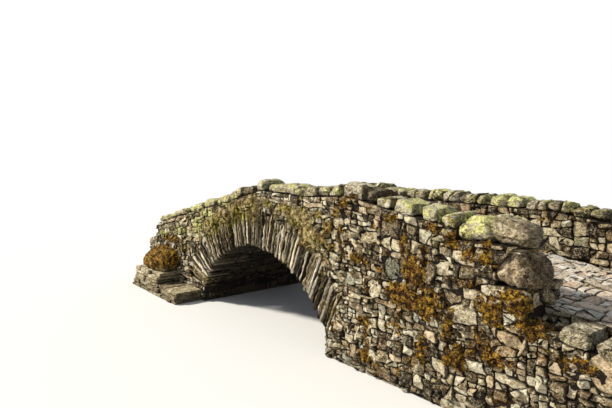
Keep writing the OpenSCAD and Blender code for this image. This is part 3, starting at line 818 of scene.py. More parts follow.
def pack_joints(heap, outline, place, spacing=0.06, rise=0.003):
    """An uneven sheet of soil and chips over a face, from which the stones stand out. Moss swells it."""
    outline = np.array(outline)
    low, high = outline.min(axis=0), outline.max(axis=0)
    along, up = [start + np.arange(int(n) + 2) * spacing for start, n in zip(low, (high - low) / spacing)]
    u, v = np.meshgrid(along, up, indexing="ij")
    flat = np.stack([u, v], axis=-1)
    good = inside(outline, flat.reshape(-1, 2)).reshape(u.shape)
    growth = growth_at(place(u, v, 0 * u))
    mossy = np.clip((growth[..., 0] - 0.3) / 0.4, 0, 1)
    (soil, soil_w), (tuft, tuft_w) = SOIL_LUMPS, PACKED_MOSS_LUMPS
    height = rise + soil * flat_lumps(flat, soil_w, 31)
    height = height + mossy * (PACKED_MOSS + tuft * flat_lumps(flat, tuft_w, 32))
    jog = 0.25 * spacing
    points = place(u + jog * flat_lumps(flat, spacing, 33), v + jog * flat_lumps(flat, spacing, 34), height)
    number = np.arange(u.size).reshape(u.shape)
    quads = np.stack([number[:-1, :-1], number[1:, :-1], number[1:, 1:], number[:-1, 1:]], axis=-1)
    full = good[:-1, :-1] & good[1:, :-1] & good[1:, 1:] & good[:-1, 1:]
    used, faces = np.unique(quads[full], return_inverse=True)
    heap.add(points.reshape(-1, 3)[used], [faces.reshape(-1, 4)], np.zeros(3), growth.reshape(-1, 3)[used])


# Height in which courses are laid level, before they are bent to the wall's top
COURSED_H = 2.0
# Uneven shifts of the courses along the wall, and up it
SHIFTS_ALONG = [(0.03, 0.15, 41), (0.014, 0.055, 42)]
SHIFTS_UP = [(0.02, 0.16, 43), (0.02, 0.5, 44)]


def rubble(heap, outline, place, size_at, rng, top=None, holes=(), breaking=(0.3, 0.4), **raising):
    """Rubble over one face. top bends the courses so that they rise and fall with the wall's top."""
    outline = np.array(outline)
    low, high = outline.min(axis=0), outline.max(axis=0)

    def rise(u):
        """How much higher the courses are here than they were laid."""
        return top(u) / COURSED_H if top else np.ones(np.shape(u))

    def size_here(u, v):
        """Width and height of the stones at a place, as laid."""
        w, h = size_at(u + low[0], v)
        return w, h / float(rise(np.array(u + low[0])))

    def bend(points):
        """Bends the courses to the top, and shifts them unevenly."""
        u, v = points[..., 0], points[..., 1]
        flat = np.stack([u, (v * rise(u)) if top else v + low[1]], axis=-1)
        shifts = [grain_of(flat_lumps, flat, grains) for grains in (SHIFTS_ALONG, SHIFTS_UP)]
        return flat + np.stack(shifts, axis=-1)

    rects = pack_courses(high[0] - low[0], COURSED_H if top else high[1] - low[1], size_here, rng)
    rects[:, 0] += low[0]
    polygons = trimmed(broken(list(rough_outlines(rects, bend, rng)), rng, *breaking), outline, holes)
    raise_stones(heap, [*holes, *polygons], place, rng, **raising)


# The CAD's loose stones
def runs(name):
    """The nodes of a ring or a coping, from left to right."""
    return [f"{name}_{part}" for part in ("left", "crown", "right")]


def linked(triangles, count):
    """A number for each point, the same for all the points of one solid."""
    label = np.arange(count)
    while True:
        low = label[triangles].min(axis=1)
        before = label.copy()
        for corner in triangles.T:
            np.minimum.at(label, corner, low)
        if (label == before).all():
            return label


def solids(*names):
    """The solids of some CAD nodes, from left to right: each one's points and the planes of its faces."""
    found = []
    for name in names:
        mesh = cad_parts[name].data
        mesh.calc_loop_triangles()
        places = np.zeros(len(mesh.vertices) * 3)
        mesh.vertices.foreach_get("co", places)
        triangles = np.zeros(len(mesh.loop_triangles) * 3, np.int32)
        mesh.loop_triangles.foreach_get("vertices", triangles)
        points, same = np.unique(np.round(places.reshape(-1, 3), 5), axis=0, return_inverse=True)
        triangles = same.reshape(-1)[triangles].reshape(-1, 3)
        label = linked(triangles, len(points))
        for one in np.unique(label):
            mine = triangles[label[triangles[:, 0]] == one]
            a, b, c = (points[mine[:, k]] for k in range(3))
            normal = np.cross(b - a, c - a)
            size = np.linalg.norm(normal, axis=1, keepdims=True)
            good = size[:, 0] > 1e-9
            normal = normal[good] / size[good]
            planes = np.column_stack([normal, (normal * a[good]).sum(axis=1)])
            found.append((points[label == one], np.unique(np.round(planes, 4), axis=0)))
    return sorted(found, key=lambda s: s[0][:, 0].mean())


def box_grid(nx, ny, nz):
    """Points from -1 to 1 on the surface of a cube, and its faces, turned outwards."""
    counts = (nx, ny, nz)
    points, faces, seen = [], [], {}

    def number(cell):
        """The number of the point at a cell's corner, which is made when it is first asked for."""
        if cell not in seen:
            seen[cell] = len(points)
            points.append([2 * c / n - 1 for c, n in zip(cell, counts)])
        return seen[cell]

    for axis in range(3):
        u, v = (axis + 1) % 3, (axis + 2) % 3
        for side in (0, counts[axis]):
            for i, j in np.ndindex(counts[u], counts[v]):
                ring = []
                for di, dj in ((0, 0), (1, 0), (1, 1), (0, 1)):
                    cell = [0, 0, 0]
                    cell[axis], cell[u], cell[v] = side, i + di, j + dj
                    ring.append(number(tuple(cell)))
                faces.append(ring if side else ring[::-1])
    return np.array(points), np.array(faces)


# Boulders split most easily along slanting beds
BEDDING = np.array([[0.8, 0.0, -0.5], [0.0, 1.0, 0.0], [0.3, 0.0, 1.35]])
# The grain of a worn surface: how strong its lumps are, how wide, and what each adds to the seed
WORN_GRAINS = [(0.9, 0.17, 0), (0.55, 0.07, 50), (0.35, 0.03, 90)]
CRACK_SIZE = 0.16
# Gap at the joint where a coping stone is parted
PARTED_GAP = 0.005


def weathered(solid, grid, soft=30, wear=0.012, seed=1, facets=0, bite=0.14):
    """A convex shape with flats knocked off it and its surface worn, as points, directions and cracks."""
    corners, planes = solid
    rng = np.random.default_rng(seed)
    low, high = corners.min(axis=0), corners.max(axis=0)
    half = (high - low) / 2
    middle = corners.mean(axis=0) * 0.3 + (low + high) * 0.35
    ways = rng.normal(0, 1, (facets, 3)) / half
    ways /= np.linalg.norm(ways, axis=1, keepdims=True)
    far = ((corners - middle) @ ways.T).max(axis=0) * rng.uniform(1 - 2 * bite, 1 - 0.2 * bite, facets)
    normals = np.vstack([planes[:, :3], ways])
    reach = np.maximum(np.concatenate([planes[:, 3] - planes[:, :3] @ middle, far]), 0.004)
    rays = grid * half
    rays /= np.linalg.norm(rays, axis=1, keepdims=True)
    # A ray ends at the nearest plane, and softly where two planes are equally near
    facing = np.maximum(rays @ normals.T, 0) / reach
    strongest = facing.max(axis=1, keepdims=True)
    weight = (facing / strongest) ** soft
    radius = 1 / (strongest[:, 0] * weight.sum(axis=1) ** (1 / soft))
    points = middle + rays * radius[:, None]
    outward = weight @ normals
    outward /= np.linalg.norm(outward, axis=1, keepdims=True)
    grain = grain_of(lumps, points, [(height, width, seed + more) for height, width, more in WORN_GRAINS])
    # Cracks run where a slanting noise crosses zero
    crack = np.clip(1 - 7 * np.abs(lumps(points @ BEDDING, CRACK_SIZE, seed + 7)), 0, 1)
    crack = crack * np.clip(0.6 + 2 * lumps(points, 0.2, seed + 8), 0, 1)
    return points + outward * (wear * (grain - 0.25 - 0.8 * crack))[:, None], outward, crack


def block(low, high):
    """A plain block between two corners, as a solid for weathered()."""
    picks = np.ndindex(2, 2, 2)
    corners = np.array([[(low, high)[n][k] for k, n in enumerate(pick)] for pick in picks], float)
    normals = np.vstack([np.eye(3), -np.eye(3)])
    return corners, np.column_stack([normals, (corners @ normals.T).max(axis=0)])


def parted(solid, share, lean):
    """The two stones on either side of a leaning joint through a stone."""
    corners, planes = solid
    low, high = corners.min(axis=0), corners.max(axis=0)
    normal = np.array([math.cos(lean), 0, math.sin(lean)])
    at = np.array([low[0] + share * (high[0] - low[0]), 0, (low[2] + high[2]) / 2])
    limit = at[0] - math.tan(lean) * (corners[:, 2] - at[2])
    halves = []
    for side, bound in ((1, np.minimum), (-1, np.maximum)):
        own = corners.copy()
        own[:, 0] = bound(own[:, 0], limit)
        halves.append((own, np.vstack([planes, [*(side * normal), side * normal @ at - PARTED_GAP]])))
    return halves


def lay_stones(heap, found, grid, shades, lichens, seed, mosses=None, sculpt=None, **wearing):
    """Wears each solid to a stone. What no list gives, such as shades, is drawn at random."""
    points, faces = box_grid(*grid)
    rng = np.random.default_rng(seed)
    for k, solid in enumerate(found):
        worn, outward, crack = weathered(solid, points, seed=seed + 3 * k, **wearing)
        shade = shades[k] if shades else rng.uniform(0.3, 0.8)
        lichen = lichens[k] if lichens else rng.uniform(0.1, 0.7)
        # Dirt and painted shade: darker below, in the cracks and where it meets the next stone
        ends = np.clip((np.abs(points[:, 0]) - 0.84) * 6, 0, 1) * 0.75
        dirt_and_shade = np.clip(np.max([-outward[:, 2] * 0.9, crack * 0.6, ends], axis=0), 0, 0.85)
        stone = np.column_stack([np.full(len(worn), shade), np.full(len(worn), rng.uniform(0.3, 0.75)), dirt_and_shade])
        growth = growth_at(worn)
        growth[:, 1] = np.maximum(growth[:, 1], lichen * np.clip(0.75 + 0.4 * outward[:, 2], 0, 1))
        if sculpt:
            sculpt(worn, outward, stone, growth)
        if mosses:
            cover = np.clip(0.8 + 0.5 * outward[:, 2] + 0.3 * lumps(worn, 0.2, 61), 0, 1)
            growth[:, 0] = np.maximum(growth[:, 0], mosses[k] * cover)
        heap.add(worn, [faces], stone, growth, worn @ BEDDING + rng.uniform(-5, 5, 3))


# The slates of the rings
def slate_corners(solid):
    """A slate's corners on its face, inner and then outer, left before right, and its front and back."""
    points = solid[0]
    front = points[points[:, 1] < points[:, 1].min() + 1e-4]
    across, up = front[:, 0] - ARCH_X, front[:, 2] - ARCH_Z
    angle, radius = np.arctan2(across, up), np.hypot(across, up)
    order = np.argsort(radius)
    ends = []
    for pair in (order[:2], order[2:4]):
        ends.extend(sorted(pair, key=lambda n: angle[n]))
    return [front[n][[0, 2]] for n in ends], points[:, 1].min(), points[:, 1].max()


# Shares of a slate's thickness at which it splits into three leaves, and the gap between two leaves
LEAF_CUTS = [0.35, 0.66]
LEAF_GAP = 0.045
# How far leaves are set back, how pale they are, and how often each value comes
SET_BACK = ([0.0, 0.01, 0.022, 0.045], [0.45, 0.25, 0.18, 0.12])
LEAF_PALE = ([0.1, 0.55, 0.95, 1.3], [0.2, 0.26, 0.28, 0.26])
# A leaf's face rises in steps of this height, is knocked back at its sides and its tips, and is rough
RIVEN_STEP = 0.009
KNOCKED_SIDE = 0.008
KNOCKED_TIP = 0.02
RIVEN_GRAIN = (0.003, 0.03)


def leaves_of(rng):
    """The leaves of one slate, as shares of its thickness, with a gap at each side."""
    gap = rng.uniform(0.06, 0.15)
    number = rng.choice([1, 2, 3], p=[0.14, 0.56, 0.3])
    if number == 1:
        return [(gap, 1 - gap)]
    cuts = np.sort(rng.uniform(0.28, 0.72, 1)) if number == 2 else rng.uniform(-0.06, 0.06, 2) + LEAF_CUTS
    bounds = [gap, *cuts, 1 - gap]
    leaves = []
    for n, (start, end) in enumerate(zip(bounds, bounds[1:])):
        leaves.append((start + LEAF_GAP * (n > 0), end - LEAF_GAP * (n < number - 1)))
    return leaves


def riven_leaf(heap, slate_shape, start, end, mirror, rng, detail):
    """One thin leaf of a slate, broken off at its ends and riven on its face."""
    (inner_a, inner_b, outer_a, outer_b), front, back = slate_shape
    knots = np.linspace(0, 1, 9)

    def chips(at, amount):
        """A broken line: straight runs between places that are out by a random amount."""
        return np.interp(at, knots, rng.uniform(-amount, amount, len(knots)))

    grid, faces = box_grid(detail[0], detail[1] if end - start > 0.5 else 2, detail[2])
    along, across, deep = (grid.T + 1) / 2
    deep = np.interp(deep, np.linspace(0, 1, 4), [0, 0.02, 0.12, 1])
    edge, side, tip = [np.abs(2 * t - 1) > limit for t, limit in ((along, 0.8), (across, 0.9), (along, 0.98))]
    far, near_end = rng.uniform(0.9, 1.03), rng.uniform(-0.06, 0.01)
    s = near_end + (far - near_end) * along + rng.uniform(-0.05, 0.05) * (across - 0.5) * edge
    low_edge, high_edge = start + chips(s, 0.05), end + chips(s, 0.05)
    taper = 1 - rng.uniform(-0.05, 0.3) * s
    t = (low_edge + high_edge) / 2 + (high_edge - low_edge) * (across - 0.5) * taper
    left = inner_a + (outer_a - inner_a) * s[:, None]
    right = inner_b + (outer_b - inner_b) * s[:, None]
    flat = left + (right - left) * t[:, None]
    set_back = rng.choice(SET_BACK[0], p=SET_BACK[1]) + rng.uniform(-0.01, 0.01)
    tipped = rng.uniform(-0.03, 0.03) * (across - 0.5) + rng.uniform(-0.03, 0.03) * (along - 0.5)
    steps = np.round(chips(s, 1.5)) * RIVEN_STEP + (across - 0.5) * chips(s, 0.03)
    knocked = KNOCKED_SIDE * side + KNOCKED_TIP * tip
    face = front + set_back + (tipped + steps + knocked) * (deep < 0.01)
    points = np.column_stack([flat[:, 0], face + (back - front - set_back) * deep, flat[:, 1]])
    grain, grain_w = RIVEN_GRAIN
    points += grain * np.column_stack([lumps(points, grain_w, seed) for seed in (71, 73, 72)])
    points[:, 1] *= mirror
    # A leaf that stands back is darker with painted shade, and those right of the arch are paler with painted
    # light
    pale = rng.choice(LEAF_PALE[0], p=LEAF_PALE[1]) - 4 * max(set_back - 0.02, 0)
    pale += rng.uniform(-0.1, 0.1) + 0.25 * np.clip(inner_a[0] - 0.5, 0, 0.6)
    # Dirt and painted shade on the leaf's sides and back into the gaps between leaves
    dirt_and_shade = np.clip(np.interp(deep, [0, 0.02, 0.12, 1], [0, 0.9, 1, 1]) + 0.4 * side, 0, 1)
    stone = np.column_stack([np.full(len(points), pale), np.full(len(points), rng.uniform(0.3, 0.72)), dirt_and_shade])
    lie = np.column_stack([s * 0.16, t * 0.09, deep * 0.4]) + rng.uniform(-5, 5, 3)
    heap.add(points, [faces[:, ::-1] if mirror > 0 else faces], stone, growth_at(points), lie)


def riven_slates(name, slates, mirror, seed, detail):
    """The piece for one ring: each slate is a leaf or several thin ones, with gaps between them whose sides
    carry dirt and painted shade.
    """
    heap = Heap()
    rng = np.random.default_rng(seed)
    for slate_shape in slates:
        for start, end in leaves_of(rng):
            riven_leaf(heap, slate_shape, start, end, mirror, rng, detail)
    heap.piece(name + "_slates", slate, "slate", runs(name))


# Places on the faces of the bridge: u along a face, v up it and h out of it
ALONG = {"near": (1, 0, 0), "far": (-1, 0, 0), "right": (0, 1, 0), "left": (0, -1, 0)}


def facing(side, at):
    """An upright face that looks to one side, at a place on the axis that it looks along."""
    along, up = np.array(ALONG[side], float), np.array([0.0, 0.0, 1.0])
    out = np.cross(along, up)
    origin = at * np.abs(out)

    def place(u, v, h):
        """Points of the face."""
        return origin + u[..., None] * along + v[..., None] * up + h[..., None] * out
    return place


def deck_place(u, v, h):
    """The top of the deck: u runs across the bridge and v from right to left."""
    return np.stack([-v, u, deck_z(-v) + h], axis=-1)


def strip_place(u, v, h):
    """The wall's low top between the pier and the right end, under the kerb slabs."""
    return deck_place(u, v, h - KERB_T)


def soffit_place(u, v, h):
    """Under the arch: u runs across the bridge, v along the curve from the crown and on down its legs."""
    angle = np.clip(v / ARCH_R, -SPRING, SPRING)
    below = np.maximum(np.abs(v) - SPRING * ARCH_R, 0)
    r = ARCH_R - h
    x = ARCH_X + r * np.sin(angle)
    z = ARCH_Z + np.where(below > 0, ARCH_R, r) * np.cos(angle) - below
    x = np.where(below > 0, ARCH_X + (ARCH_R * math.sin(SPRING) - h) * np.sign(v), x)
    return np.stack([x, u, z], axis=-1)


near_place = facing("near", -FACE_Y)
far_place = facing("far", FACE_Y)


# Outlines of the faces, which reach a little past the CAD's corners
EDGE = 0.03
OUT_Y = FACE_Y + EDGE
OUT_X = END_X + EDGE
SEAT_OUT = 0.035


def line_of(heights, start, end, below=0.0):
    """Points along a top line from start to end."""
    xs = np.linspace(start, end, max(2, int(abs(end - start) / 0.2) + 1))
    return [(float(x), float(heights(x)) - below) for x in xs]


def mirrored(heights):
    """The same heights for a face that is seen from the other side."""
    return lambda u: heights(-u)


def oblong(left, low, right, high):
    """Corners of an oblong, from the lower left one."""
    return [(left, low), (right, low), (right, high), (left, high)]


near_slates = [slate_corners(s) for s in solids(*runs("near_ring"))]
near_slates.sort(key=lambda s: math.atan2(*(s[0][0] - [ARCH_X, ARCH_Z])))
ring_tops = []
for (inner_a, inner_b, outer_a, outer_b), _, _ in near_slates:
    for inner, outer in ((inner_a, outer_a), (inner_b, outer_b)):
        ring_tops.append(outer + (inner - outer) * 0.05)
arch_edge = [(SPRING_LEFT, 0), (SPRING_LEFT, SPRING_Z), *ring_tops]
arch_edge += [(SPRING_RIGHT, SPRING_Z), (SPRING_RIGHT, 0)]
near_outline = [
    (-OUT_X, 0), *arch_edge, (OUT_X, 0), *line_of(deck_z, OUT_X, PIER_END_X + EDGE, KERB_T),
    (PIER_END_X + EDGE, SEAT_Z), *[(x + SEAT_OUT, z) for x, z in SEAT_LINE], (PIER_X, PIER_TOP),
    *line_of(near_bed, PIER_X, PARAPET_X - EDGE), *line_of(deck_z, PARAPET_X - EDGE, -OUT_X),
]
far_outline = [
    (-OUT_X, 0), *[(-x, z) for x, z in arch_edge[::-1]], (OUT_X, 0),
    *line_of(mirrored(deck_z), OUT_X, -PARAPET_X + EDGE),
    *line_of(mirrored(far_bed), -PARAPET_X + EDGE, -OUT_X),
]


# The near and far walls, where stones grow larger to the right and to the left: from here, over this length
RIGHT_FROM, RIGHT_OVER = 0.6, 1.6
LEFT_FROM, LEFT_OVER = -1.1, 0.8


def wall_size(u, v):
    """Small flat stones over the arch, larger ones to the left and right, and shards beside the ring."""
    right = np.clip((u - RIGHT_FROM) / RIGHT_OVER, 0, 1)
    left = np.clip((LEFT_FROM - u) / LEFT_OVER, 0, 1)
    shards = patches(u, v, NEAR_SHARDS)
    width = 0.15 + 0.005 * right + 0.03 * left - 0.045 * shards
    return width, 0.06 + 0.016 * right + 0.022 * left - 0.014 * shards


# Near stones that stand out: along, up, width, height, lean, how pale, hue (0 blue-grey, 1 rusty)
PICKED = [
    (1.39, 1.77, 0.21, 0.15, 0.1, 0.75, 0.6), (1.56, 1.79, 0.14, 0.1, 0.0, 0.8, 0.5),
    (1.16, 1.6, 0.16, 0.12, 0.0, 0.8, 0.5), (1.31, 1.6, 0.12, 0.13, 0.1, 0.85, 0.5),
    (1.53, 1.61, 0.24, 0.15, 0.15, 0.6, 0.6), (1.59, 1.41, 0.21, 0.2, 0.1, 0.85, 0.4),
    (1.94, 1.64, 0.25, 0.15, 0.1, 0.6, 0.5), (2.3, 1.33, 0.22, 0.25, 0.1, 0.5, 0.02),
    (2.02, 1.05, 0.22, 0.22, 0.0, 0.9, 0.4), (2.22, 1.12, 0.17, 0.09, 0.0, 0.8, 0.5),
    (2.82, 1.36, 0.16, 0.24, -0.4, 0.2, 0.6), (3.0, 1.44, 0.26, 0.15, 0.15, 0.8, 0.5),
    (3.21, 1.01, 0.33, 0.2, 0.1, 0.85, 0.6), (3.57, 1.32, 0.33, 0.12, 0.05, 0.9, 0.4),
    (3.7, 0.9, 0.26, 0.13, -0.2, 0.7, 0.95), (3.66, 0.78, 0.22, 0.09, 0.15, 0.6, 0.95),
    (4.26, 0.86, 0.24, 0.2, 0.5, 0.6, 0.5), (4.56, 0.86, 0.36, 0.32, 0.1, 0.85, 0.98),
]
# The outline of each, from -0.5 to 0.5
PICKED_RING = np.array([(-0.5, -0.2), (-0.32, -0.5), (0.2, -0.5), (0.48, -0.38),
                        (0.5, 0.15), (0.3, 0.47), (-0.2, 0.5), (-0.5, 0.25)])


def picked(x, z, w, h, lean):
    """The outline of a stone that stands out."""
    turn = np.array([[math.cos(lean), math.sin(lean)], [-math.sin(lean), math.cos(lean)]])
    return (PICKED_RING * [w, h]) @ turn + [x, z]


rng = np.random.default_rng(7)
near = Heap()
rubble(near, near_outline, near_place, wall_size, rng, top=lambda u: near_bed(np.clip(u, PARAPET_X, PIER_X)),
       holes=[picked(*stone[:5]) for stone in PICKED], known=[stone[5:] for stone in PICKED],
       classes=FINE, breaking=(0.3, 0.35), joint=0.007, pale=(-0.15, 1.15), paler=NEAR_SHARDS)
near.piece("near_wall_stones", walling, "walling")
cushions = Heap()
moss_cushions(cushions, near_outline, near_place, rng, 9000)
moss_cushions(cushions, far_outline, far_place, rng, 3000)
cushions.piece("wall_moss", moss, "mossy_boulder", sharp=180)
far = Heap()
rubble(far, far_outline, far_place, lambda u, v: wall_size(-u, v), rng,
       top=lambda u: far_bed(np.clip(-u, PARAPET_X, END_X)))
far.piece("far_wall_stones", walling, "walling")
packing = Heap()
pack_joints(packing, near_outline, near_place, spacing=0.045)
pack_joints(packing, far_outline, far_place)

# The ends, the inner sides of the parapets and the pier
right_top, left_top, pier_foot = float(deck_z(END_X)), DECK_LEFT_Z, float(deck_z(PIER_END_X))
stub_low, stub_high = float(deck_z(PARAPET_X)), float(near_bed(PARAPET_X))
end_outline = [(-OUT_Y, 0), (OUT_Y, 0), (OUT_Y, float(far_bed(END_X))), (INNER_Y, float(far_bed(END_X))),
               (INNER_Y, right_top), (-INNER_Y, right_top), (-INNER_Y, right_top - KERB_T),
               (-OUT_Y, right_top - KERB_T)]
pier_back_outline = [*line_of(mirrored(deck_z), -PIER_END_X, -PIER_X), (-PIER_X, PIER_TOP),
                     *[(-x, z) for x, z in SEAT_LINE[::-1]], (-PIER_END_X, SEAT_Z)]
deck_edge_outline = [*line_of(deck_z, PIER_END_X, END_X, KERB_T), *line_of(deck_z, END_X, PIER_END_X)]
far_inner_outline = [*line_of(deck_z, PARAPET_X, END_X), *line_of(far_bed, END_X, PARAPET_X)]
near_inner_outline = [*line_of(mirrored(deck_z), -PIER_X, -PARAPET_X),
                      *line_of(mirrored(near_bed), -PARAPET_X, -PIER_X)]
PLAIN_STONE = np.array([0.19, 0.1])
FAR_INNER_SCALE = 1.1
faces = Heap()
for outline, place, scale in [
    (end_outline, facing("right", END_X), 1.0),
    (oblong(-OUT_Y, 0, OUT_Y, left_top), facing("left", -END_X), 1.0),
    (far_inner_outline, facing("near", INNER_Y), FAR_INNER_SCALE),
    (near_inner_outline, facing("far", -INNER_Y), 1.0),
    (oblong(-OUT_Y, pier_foot, PIER_Y + EDGE, SEAT_Z), facing("right", PIER_END_X), 1.0),
    (pier_back_outline, facing("far", PIER_Y), 1.0),
    (oblong(-PIER_Y, float(deck_z(PIER_X)), INNER_Y, PIER_TOP), facing("left", PIER_X), 1.0),
    (oblong(-OUT_Y, -KERB_X, -INNER_Y, -PIER_END_X), strip_place, 1.0),
    (deck_edge_outline, facing("near", -INNER_Y), 1.0),
    (oblong(-OUT_Y, stub_low, -INNER_Y, stub_high), facing("left", PARAPET_X), 1.0),
    (oblong(INNER_Y, stub_low, OUT_Y, stub_high), facing("left", PARAPET_X), 1.0),
]:
    rubble(faces, outline, place, lambda u, v: PLAIN_STONE * scale, rng, joint=0.008,
           pale=(-0.25, 0.95), proud=(0.01, 0.07))
    pack_joints(packing, outline, place)
faces.piece("end_and_parapet_stones", walling, "walling")

# Under the arch, where the rings' depth is left free at both faces: half of the outline, then the whole
ARC = SPRING * ARCH_R
LEGS = ARC + SPRING_Z
VAULT_STONE = (0.38, 0.075)
soffit_half = [(-FACE_Y, -LEGS), (FACE_Y, -LEGS), (FACE_Y, -ARC),
               (INNER_Y, -ARC), (INNER_Y, ARC), (FACE_Y, ARC)]
soffit_outline = [*soffit_half, *[(-u, -v) for u, v in soffit_half]]
soffit = Heap()
rubble(soffit, soffit_outline, soffit_place, lambda u, v: VAULT_STONE, rng, proud=(0.008, 0.026), tilt=0.05)
soffit.piece("arch_soffit_stones", vault, "vault_stone")

# The cobbles, between the parapets and out to both faces at the left end
COBBLE_SIZE = (0.2, 0.115)
deck_outline = [(-INNER_Y, -OUT_X), (INNER_Y, -OUT_X), (INNER_Y, -PARAPET_X), (FACE_Y, -PARAPET_X),
                (FACE_Y, OUT_X), (-FACE_Y, OUT_X), (-FACE_Y, -PARAPET_X), (-INNER_Y, -PARAPET_X),
                (-INNER_Y, -PIER_X), (PIER_Y, -PIER_X), (PIER_Y, -PIER_END_X), (-INNER_Y, -PIER_END_X)]
deck = Heap()
rubble(deck, deck_outline, deck_place, lambda u, v: COBBLE_SIZE, rng, proud=(0.008, 0.024), tilt=0.04,
       joint=0.006, pale=(0.2, 1.05), rough=0.7, classes=WORN, breaking=(0.45, 0.35))
deck.piece("deck_cobbles", cobble, "cobbles")
pack_joints(packing, deck_outline, deck_place, rise=0.0)
packing.piece("joint_packing", joints, "hearting", sharp=180)

# Rings
riven_slates("near_ring", near_slates, 1, 21, (16, 3, 3))
riven_slates("far_ring", near_slates, -1, 22, (12, 2, 3))

# Coping: how pale each near stone is, and how much lichen it has, from left to right
NEAR_COPING_SHADES = [0.6, 0.6, 0.65, 0.6, 0.55, 0.5, 0.18, 0.85, 0.6,
                      0.6, 0.6, 0.7, 0.9, 0.2, 0.75, 0.85, 0.8, 0.8]
NEAR_COPING_LICHEN = [0.55, 0.5, 0.55, 0.5, 0.5, 0.45, 0.2, 0.4, 0.45,
                      0.4, 0.35, 0.35, 0.25, 0.05, 0.45, 0.5, 0.5, 0.5]
# Far coping stones wider than this are parted in two
PARTED_W = 0.27
near_coping = Heap()
lay_stones(near_coping, solids(*runs("near_coping")), (22, 14, 7), NEAR_COPING_SHADES, NEAR_COPING_LICHEN,
           100, wear=0.016, facets=9)
near_coping.piece("near_coping_stones", coping, "coping_stone", runs("near_coping"))
far_stones = []
rng = np.random.default_rng(63)
for solid in solids(*runs("far_coping")):
    if np.ptp(solid[0][:, 0]) > PARTED_W:
        far_stones.extend(parted(solid, rng.uniform(0.38, 0.62), rng.uniform(-0.5, 0.35)))
    else:
        far_stones.append(solid)
far_coping = Heap()
lay_stones(far_coping, far_stones, (13, 11, 7), None, None, 300, wear=0.016, facets=12, bite=0.16)
far_coping.piece("far_coping_stones", coping, "coping_stone", runs("far_coping"))


# Boulders
def groove(points, outward, stone, start, end, width, depth):
    """Cuts a groove into a boulder along a line between two places on its near side, darkened with dirt and
    painted shade.
    """
    a, b = np.array(start), np.array(end)
    flat = points[:, [0, 2]]
    t = np.clip(((flat - a) @ (b - a)) / ((b - a) @ (b - a)), -0.3, 1.3)
    away = np.hypot(*(flat - a - t[:, None] * (b - a)).T) / width
    amount = np.exp(-away ** 2) * (outward[:, 1] < 0.2)
    points -= outward * (depth * amount)[:, None]
    # Dirt and painted shade in the groove
    stone[:, 2] = np.maximum(stone[:, 2], 0.6 * amount)


# Grooves in the two boulders of the pier: from and to (along, up), width and depth
TOP_GROOVES = [((3.45, 2.02), (3.53, 1.8), 0.03, 0.05), ((3.6, 1.97), (3.93, 1.86), 0.016, 0.014),
               ((3.56, 1.83), (3.86, 1.8), 0.014, 0.016)]
END_GROOVE = ((3.66, 1.7), (3.74, 1.4), 0.02, 0.018)
# The boulder on top turns from yellow to grey from here, over this length
GREY_FROM, GREY_OVER = 3.42, 0.2


def shape_top_boulder(points, outward, stone, growth):
    """Two lumps with a groove between them: yellow with lichen at the left, grey at the right."""
    for line in TOP_GROOVES:
        groove(points, outward, stone, *line)
    right = np.clip((points[:, 0] - GREY_FROM) / GREY_OVER, 0, 1)
    growth[:, 1] *= 1 - 0.8 * right
    growth[:, 0] *= 0.3
    stone[:, 1] = 0.5 + 0.3 * right


def shape_and_shade_end_boulder(points, outward, stone, growth):
    """Painted shade where it turns away from the near side."""
    groove(points, outward, stone, *END_GROOVE)
    # Painted shade on the side that faces right, away from the sun
    stone[:, 0] -= 0.4 * np.clip(outward[:, 0] * 1.6, 0, 1)
    stone[:, 1] = 0.9
    growth[:, 0] *= 0.4


for node, shade, lichen, slot, mossy, wear, bite, sculpt in [
    ("end_boulder", 0.76, 0.0, "boulder", 0.0, 0.014, 0.05, shape_and_shade_end_boulder),
    ("end_coping_boulder", 0.62, 0.62, "coping_stone", 0.0, 0.014, 0.05, shape_top_boulder),
    ("left_boulder", 0.4, 0.1, "mossy_boulder", 0.95, 0.03, 0.12, None),
]:
    one = Heap()
    lay_stones(one, solids(node), (44, 34, 26), [shade], [lichen], 500, [mossy], sculpt,
               wear=wear, soft=150, facets=12, bite=bite)
    one.piece(node + "_rock", boulder, slot, [node])

# Courses of the footing: left end, right end, bottom and reach from the wall. Each is laid in thin slabs.
FOOTING = [(-4.397, -2.31, 0.0, 0.56), (-4.317, -3.19, 0.2, 0.52)]
FOOTING_H = 0.2
SLAB_LENGTHS = (0.22, 0.62)
LEAST_SLAB = 0.16
# How far slabs reach into the wall and stand back in front, and the gaps beside and over one
INTO_WALL = 0.02
STOOD_BACK = (0.01, 0.07)
SLAB_GAP = 0.008
LAYER_GAP = 0.004


def footing_slabs(rng):
    """The thin slabs of both footings, near and far, with uneven fronts."""
    slabs = []
    for side in (-1, 1):
        for start, end, bottom, reach in FOOTING:
            layers = np.cumsum([0, *(FOOTING_H * rng.dirichlet([14, 14, 14]))]) + bottom
            for low_z, high_z in zip(layers, layers[1:]):
                x = start
                while x < end:
                    far_x = min(x + rng.uniform(*SLAB_LENGTHS), end)
                    far_x = end if end - far_x < LEAST_SLAB else far_x
                    out = reach - rng.choice([0.0, rng.uniform(*STOOD_BACK)])
                    low_y, high_y = sorted((side * (FACE_Y - INTO_WALL), side * (FACE_Y + out)))
                    slabs.append(block((x, low_y, low_z), (far_x - SLAB_GAP, high_y, high_z - LAYER_GAP)))
                    x = far_x
    return slabs


